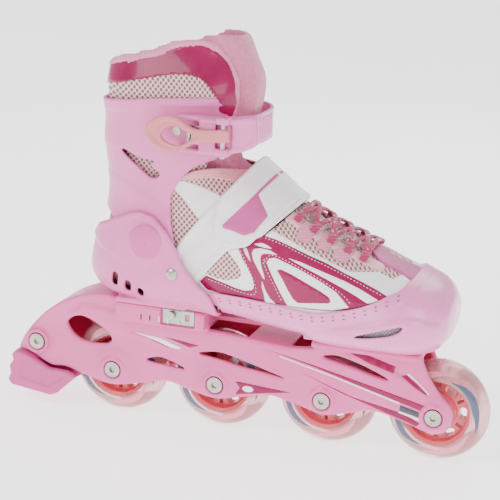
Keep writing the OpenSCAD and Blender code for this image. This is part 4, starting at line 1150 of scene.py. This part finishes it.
def collar():
    s, d = collar_space((-140, -50, 148), (-14, 50, 284), 1.3 * FINE ** 0.5)
    trim = collar_trim(s, outline(RIM, SKIRT))
    open_front = both(trim, -throat_gap(s), 1)
    piece("collar_mesh", s, both(layer(d, -2.2, -0.2), open_front, 0.5), MESH, "cuff", "mesh_fabric",
          "collar")
    piece("collar_lining", s, both(layer(d, -4.6, -1.8), open_front, 0.6), LINING, "cuff", "lining_fabric")
    field = collar_trim(s, outline([(-150, 262), (-40, 290), (-10, 280), (-10, 180)],
                                   [(-38, 180), (-39, 200), (-38.6, 232)],
                                   [(-38.8, 236.8), (-40.3, 240), (-46.1, 246.7), (-53.2, 250.7),
                                    (-67.2, 251.6),
                                    (-88.2, 247.4), (-116.8, 241), (-150, 238)]))
    gloss = both(both(layer(d, -1.6, 0.9), open_front + 1.2, 0.5), field, 0.5)
    piece("collar_patent", s, gloss, MAGENTA, "cuff", "trim_magenta")


def collar_rim():
    s, d = collar_space((-142, -50, 180), (-14, 50, 284), 4.0)
    trim = both(collar_trim(s, outline(RIM, SKIRT)), -throat_gap(s), 1)
    size = 4.0 + 0.7 * ease(-s.x, 40, 80)
    roll = np.hypot(d + 2.6, trim + 0.5) - size
    roll = both(roll, 196 - s.z, 2)
    obj = piece("collar_roll", s, roll, CORD_CLOTH, "cuff", "lining_fabric")
    puff(obj, hold=lambda p: p[:, 2] < 204, limit=1.5, phase=lambda p: p[:, 0] + 0.5 * p[:, 2])


TONGUE_TOP = [(-64, 166), (-64, 262), (-62.7, 271), (-58, 274.6), (-50.7, 278), (-41.6, 279.4), (-33, 276.4),
              (-27.5, 270.5),
              (-23, 260), (-6, 240), (-4, 166)]


def tongue():
    """The shin pad: proud in the collar's opening, its wings tucked behind the collar's edges."""
    s, d = collar_space((-72, -42, 168), (-4, 42, 290), 3.0)
    sit = 1.5 - 9 * ease(np.abs(s.y), 10, 24) - 6 * ease(-s.z, -208, -192)
    body = both(layer(d - sit, -3.1, 3.1), both(inside(TONGUE_TOP, s), 177 - s.z, 4), 2.6)
    obj = piece("tongue_pad", s, body, TONGUE_CLOTH, "cuff", "tongue_fabric", "tongue_top")
    puff(obj, hold=lambda p: p[:, 2] < 205, limit=2.0, phase=lambda p: p[:, 0] - np.abs(p[:, 1]))


def puff(obj, hold, limit, phase, pressure=4.0, frames=20):
    """Fills a padded piece by cloth simulation, held where hold says, its movement capped in mm, then
    ribs it."""
    mesh = obj.data
    rest = np.empty(len(mesh.vertices) * 3)
    mesh.vertices.foreach_get("co", rest)
    rest = rest.reshape(-1, 3)
    moved = rest
    grip = obj.vertex_groups.new(name="grip")
    grip.add([int(i) for i in np.flatnonzero(hold(rest / MM))], 1.0, "REPLACE")
    cloth_mod = obj.modifiers.new("cloth", "CLOTH")
    set_up = cloth_mod.settings
    set_up.use_pressure, set_up.uniform_pressure_force = True, pressure
    set_up.vertex_group_mass = "grip"
    set_up.mass, set_up.quality = 0.2, 6
    set_up.tension_stiffness = set_up.compression_stiffness = 30
    set_up.bending_stiffness = 4
    set_up.effector_weights.gravity = 0
    cloth_mod.collision_settings.use_collision = False
    scene = bpy.context.scene
    for k in range(1, frames + 1):
        scene.frame_set(k)
    shaped = obj.evaluated_get(bpy.context.evaluated_depsgraph_get()).to_mesh()
    moved = np.empty_like(rest.ravel())
    shaped.vertices.foreach_get("co", moved)
    moved = moved.reshape(-1, 3)
    obj.evaluated_get(bpy.context.evaluated_depsgraph_get()).to_mesh_clear()
    obj.modifiers.remove(cloth_mod)
    scene.frame_set(1)
    step = moved - rest
    size = np.linalg.norm(step, axis=1)[:, None]
    moved = rest + step * np.minimum(1, limit * MM / np.maximum(size, 1e-9))
    mesh.vertices.foreach_set("co", moved.astype(np.float32).ravel())
    smooth = obj.modifiers.new("smooth", "SUBSURF")
    smooth.levels = smooth.render_levels = 2
    bpy.context.view_layer.update()
    fine = bpy.data.meshes.new_from_object(obj.evaluated_get(bpy.context.evaluated_depsgraph_get()))
    obj.modifiers.remove(smooth)
    obj.data = fine
    fine.polygons.foreach_set("use_smooth", np.ones(len(fine.polygons), bool))
    co = np.empty(len(fine.vertices) * 3, np.float32)
    fine.vertices.foreach_get("co", co)
    co = co.reshape(-1, 3)
    normals = np.empty(len(fine.vertices) * 3, np.float32)
    fine.vertex_normals.foreach_get("vector", normals)
    ribs = 0.16 * np.sin(2 * math.pi * phase(co.astype(float) / MM) / 3.6)
    fine.vertices.foreach_set("co", (co + normals.reshape(-1, 3) * (ribs * MM)[:, None]).ravel())
    fine.update()


def linings():
    s = Space((-142, -44, 90), (24, 44, 182), 1.6)
    d = s.foot()
    heel = inside(smooth_loop([(-60, 96), (-60, 104), (-76, 128), (-84, 142), (-100, 146), (-116, 147),
                               (-150, 149),
                               (-150, 90)], 3), s)
    obj = piece("heel_pad", s, both(layer(d, -4.6, -0.4), heel, 1), LINING, "frame", "lining_fabric",
                "heel_liner")
    sock = inside([(-28, 80), (-26, 104), (-12, 114), (6, 124), (12, 130), (10, 143), (-30, 178), (-46, 178),
                   (-60, 160), (-70, 152), (-84, 150), (-100, 150),
                   (-116, 151), (-150, 152), (-150, 80)], s)
    piece("sock", s, both(layer(d, -7.2, -4.9), sock, 0.8), LINING, "frame", "lining_fabric", "inner_boot")


def insoles():
    for name, x0, x1, off, top, node, body in (("insole_heel", -128, 25, -8.4, 105, "footbed", "frame"),
                                               ("insole_toe", 20, 112, -3.8, 90, "toe_footbed", "toe")):
        s = Space((x0 - 4, -46, 78), (x1 + 4, 46, 110), 1.6)
        dish = 2.2 * np.exp(-((s.y / 14.0) ** 2)) * ease(-s.x, -30, 60)
        sole = both(both(s.foot() - off, s.z - top + dish, 2.5), np.maximum(x0 - s.x, s.x - x1), 1.5)
        obj = piece(name, s, sole, LINING, body, "lining_fabric", node)


# ---------- trim ----------

def frame_trim():
    """Thin plates printed or inlaid on the frame's sides."""
    plates = {
        "flash_line": (MAGENTA, [(-4, 66.6), (31.3, 59.8), (78.4, 49.6), (111, 42.2), (109.8, 38),
                                 (77.1, 46.6),
                                 (31.3, 58.6)]),
        "flash_edge": (WHITE, [(7, 63), (47, 54), (92, 42.4), (92.4, 41), (47, 53), (7, 62.3)]),
        "under_line": (MAGENTA, [(23.7, 53.3), (60.4, 40.9), (94.7, 34.6), (107, 29.6), (104, 27), (90, 31),
                                 (60.4, 39.9)]),
        "grey_tab": (GREY, [(92.7, 40.6), (106.3, 37.4), (106.5, 33.6), (92.3, 36.6)]),
        "white_tab": (WHITE, [(92.3, 36.3), (106.5, 33.3), (106.6, 31.4), (91, 34.6)]),
        "nose_flash": (MAGENTA, [(92.1, 60.9), (95.4, 62), (103, 56.4), (110.5, 50.4), (108.7, 50.3),
                                 (101, 54.6)]),
        "nose_edge": (WHITE, [(94.8, 63), (97, 63.4), (112, 50.6), (110.8, 50.4), (103.6, 57)]),
        "name_plate": (MAGENTA, [(53.8, 73), (64, 73.2), (87.7, 66.6), (86.6, 62), (70, 66.6)]),
        "side_wedge": (MAGENTA, [(-23.9, 39.6), (15.7, 37.2), (-23.5, 30.1), (-20.4, 35.2)]),
        "wedge_spot": (WHITE, [(-14.7 + 4.4 * math.cos(a),
                                35.2 + 2.5 * math.sin(a)) for a in np.arange(0, 6.28, 0.5)]),
        "rear_flash": (MAGENTA, [(-102.8, 64.6), (-88, 61.8), (-72.3, 56.6), (-78, 59.8)]),
        "rear_flash_edge": (WHITE, [(-99, 65), (-80, 63.4), (-64, 58.4), (-66, 57), (-72, 57.4), (-86, 62)]),
        "rear_flash_tip": (MAGENTA, [(-76, 64.8), (-50.9, 61.9), (-58, 59.6)])}
    for name, (material, shape) in plates.items():
        patch(name, [shape], on_frame, 0.6 if name == "wedge_spot" else 0.45, 1.2, material, "frame",
              "trim_magenta")
    ticks = [[(x, 77.2), (x + 0.9, 77.2), (x + 0.9, 81.6 - 0.4 * (k % 2)), (x, 81.6)]
             for k, x in enumerate(np.arange(-92.5, -70, 6.6))]
    patch("size_ticks", ticks, lambda p, height, side: np.stack([p[:, 0], side * (27 + height), p[:, 1]], 1),
          0.3, 0.7,
          WHITE, "frame", "trim_magenta")


def shell_trim():
    """Grey mesh behind the toe shell's slots."""
    s = Space((60, -52, 88), (100, 52, 108), FINE)
    slot = inside(smooth_loop([(62, 92), (74.5, 98.5), (84.2, 102), (97, 105.4), (96, 100), (88, 95.5),
                               (77, 92.6),
                               (66, 91)]), s)
    piece("slot_gauze", s, both(layer(s.foot(), -0.6, 0.9), np.maximum(slot, 30 - np.abs(s.y)), 0.4), GAUZE,
          "toe",
          "mesh_fabric")


def all_stitches():
    """Stitch rows on the shell, swoosh, strap and binding."""
    edge = [(x, z - 3.0) for x, z in [(-32, 107.2), *SHELL_TOP[2:-1]]]
    lower = [(x + 0.4, z - 5.6) for x, z in [(-32, 107.2), *SHELL_TOP[2:-1]]]
    stitches("shell_stitches", [edge, lower], 3.35, DARK_THREAD, "toe", "trim_magenta", pitch=7.4, size=1.8,
             thick=0.8)
    stitches("swoosh_stitches", [
        [(-1, 149.6), (11, 146.3), (28.4, 140.2), (45.8, 134.4), (63.2, 128), (81, 121)],
        [(0.2, 134), (2.6, 138), (7, 139), (17.7, 135.8), (30, 131.3), (43.4, 125.8), (55, 119.8),
         (62, 113.4)],
        [(0, 136), (-0.5, 133.6), (2.7, 127.3), (7.5, 119.5), (12.3, 111.6), (14, 108)],
        [(-17.2, 139.4), (-13.4, 132.7), (-9.6, 125.5), (-6.7, 120), (-5, 114), (-6.4, 110.6), (-12.8, 110.4),
         (-21.8, 112), (-31, 114.8), (-40, 116.8)]], 0.95, WHITE_THREAD, "toe", "trim_magenta", pitch=2.4,
         size=1.5, thick=0.45)
    stitches("strap_stitches", [[(-57, 113), (-55, 133), (-38.5, 142.6)], [(-43.5, 121), (-29, 139.5)]], 3.0,
             WHITE_THREAD,
             "frame", "strap_white", thick=0.5)
    stitches("binding_stitches", [[(-60, 184), (-45, 185.6), (-30, 184.6)]], 0.5, ROSE_THREAD, "frame",
             "mesh_fabric")


# ---------- CAD nodes that stay ----------

KEPT = {
    STEEL: ["axle_screws", "brake_bolt", "deck_bolts", "toe_bolts", "strap_rivets", "pivot_rivets",
            "buckle_rivets",
            "ladder_rivet", "lever_pin", "buckle_pawl", "size_button"],
    RACE: ["axle_barrels", "bearing_inner_races", "bearing_spacers"] +
    [f"{n}_{i}" for n in ("outer_races", "balls")
                                                                        for i in range(1, 5)],
    CLIP: ["size_clip"], SPRING: ["button_spring"], RAIL: ["size_rail"], CAP: ["pivot_caps"],
    WHITE: ["cuff_bushes"],
    TYRE: [f"tyre_{i}" for i in range(1, 5)], HUB: [f"hub_{i}" for i in range(1, 5)]}


def dress_kept_nodes():
    """Gives the CAD nodes that no piece replaces their materials."""
    for material, names in KEPT.items():
        for name in names:
            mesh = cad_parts[name].data
            mesh.materials.clear()
            mesh.materials.append(material)


# ---------- studio ----------

def camera(azimuth=17.391, elevation=14.989, roll=2.4, distance=1.00036, aim=(-0.02333, 0, 0.12912),
           lens=104.56):
    """A camera that looks at a point. Its default values are the result of a fit to the photo."""
    a, e, r = (math.radians(v) for v in (azimuth, elevation, roll))
    right = Vector((math.cos(a), math.sin(a), 0))
    back = Vector((math.sin(a) * math.cos(e), -math.cos(a) * math.cos(e), math.sin(e)))
    up = back.cross(right)
    data = bpy.data.cameras.new("camera")
    data.lens, data.sensor_width, data.clip_end = lens, 36, 20
    obj = bpy.data.objects.new("camera", data)
    x, y = right * math.cos(r) + up * math.sin(r), up * math.cos(r) - right * math.sin(r)
    place = Vector(aim) + back * distance
    obj.matrix_world = Matrix([[x[k], y[k], back[k], place[k]] for k in range(3)] + [[0, 0, 0, 1]])
    bpy.context.scene.collection.objects.link(obj)
    bpy.context.scene.camera = obj


def softbox(name, place, aim, size, power):
    """A square area light aimed at a point."""
    light = bpy.data.lights.new(name, "AREA")
    light.shape, light.size, light.size_y, light.energy = "RECTANGLE", size, size, power
    obj = bpy.data.objects.new(name, light)
    obj.location = place
    obj.rotation_euler = (Vector(aim) - Vector(place)).to_track_quat("-Z", "Y").to_euler()
    bpy.context.scene.collection.objects.link(obj)


# Side of the square floor in metres, and how bright the world and the floor are.
FLOOR_SIDE = 24
WORLD_LIGHT = 0.9
FLOOR_LIGHT = 1.7


def studio():
    """A pale floor, an even world and three soft boxes."""
    world = bpy.data.worlds.new("studio")
    bpy.context.scene.world = world
    world.use_nodes = True
    world.node_tree.nodes["Background"].inputs["Color"].default_value = (1, 0.985, 0.985, 1)
    world.node_tree.nodes["Background"].inputs["Strength"].default_value = WORLD_LIGHT
    bpy.ops.mesh.primitive_plane_add(size=FLOOR_SIDE)
    floor = bpy.context.object
    floor.name = "floor"
    p = Paint("floor_paper", Specular_IOR_Level=0.2, Emission_Color=(1, 1, 1, 1),
              Emission_Strength=FLOOR_LIGHT)
    p.link("Base Color", p.ramp(p.noise(300), (0.3, "#f4f2f2"), (0.7, "#f9f7f7")))
    p.link("Roughness", p.spread(p.noise(40), 0.8, 0.95))
    floor.data.materials.append(p.material)
    centre = (-0.02, 0, 0.12)
    softbox("key", (-0.7, -1.0, 1.2), centre, 0.9, 16)
    softbox("front", (1.1, -0.9, 0.7), centre, 0.8, 9)
    softbox("back", (0.2, 1.1, 1.0), centre, 0.9, 9)


camera()
studio()
heel_shell()
cuff()
toe_shell()
chassis()
brake()
buckle()
lever()
ladder()
dress_kept_nodes()
vamp()
vamp_trim()
tongue_low()
laces()
quarter()
strap()
flap()
collar()
collar_rim()
tongue()
linings()
insoles()
frame_trim()
shell_trim()
all_stitches()
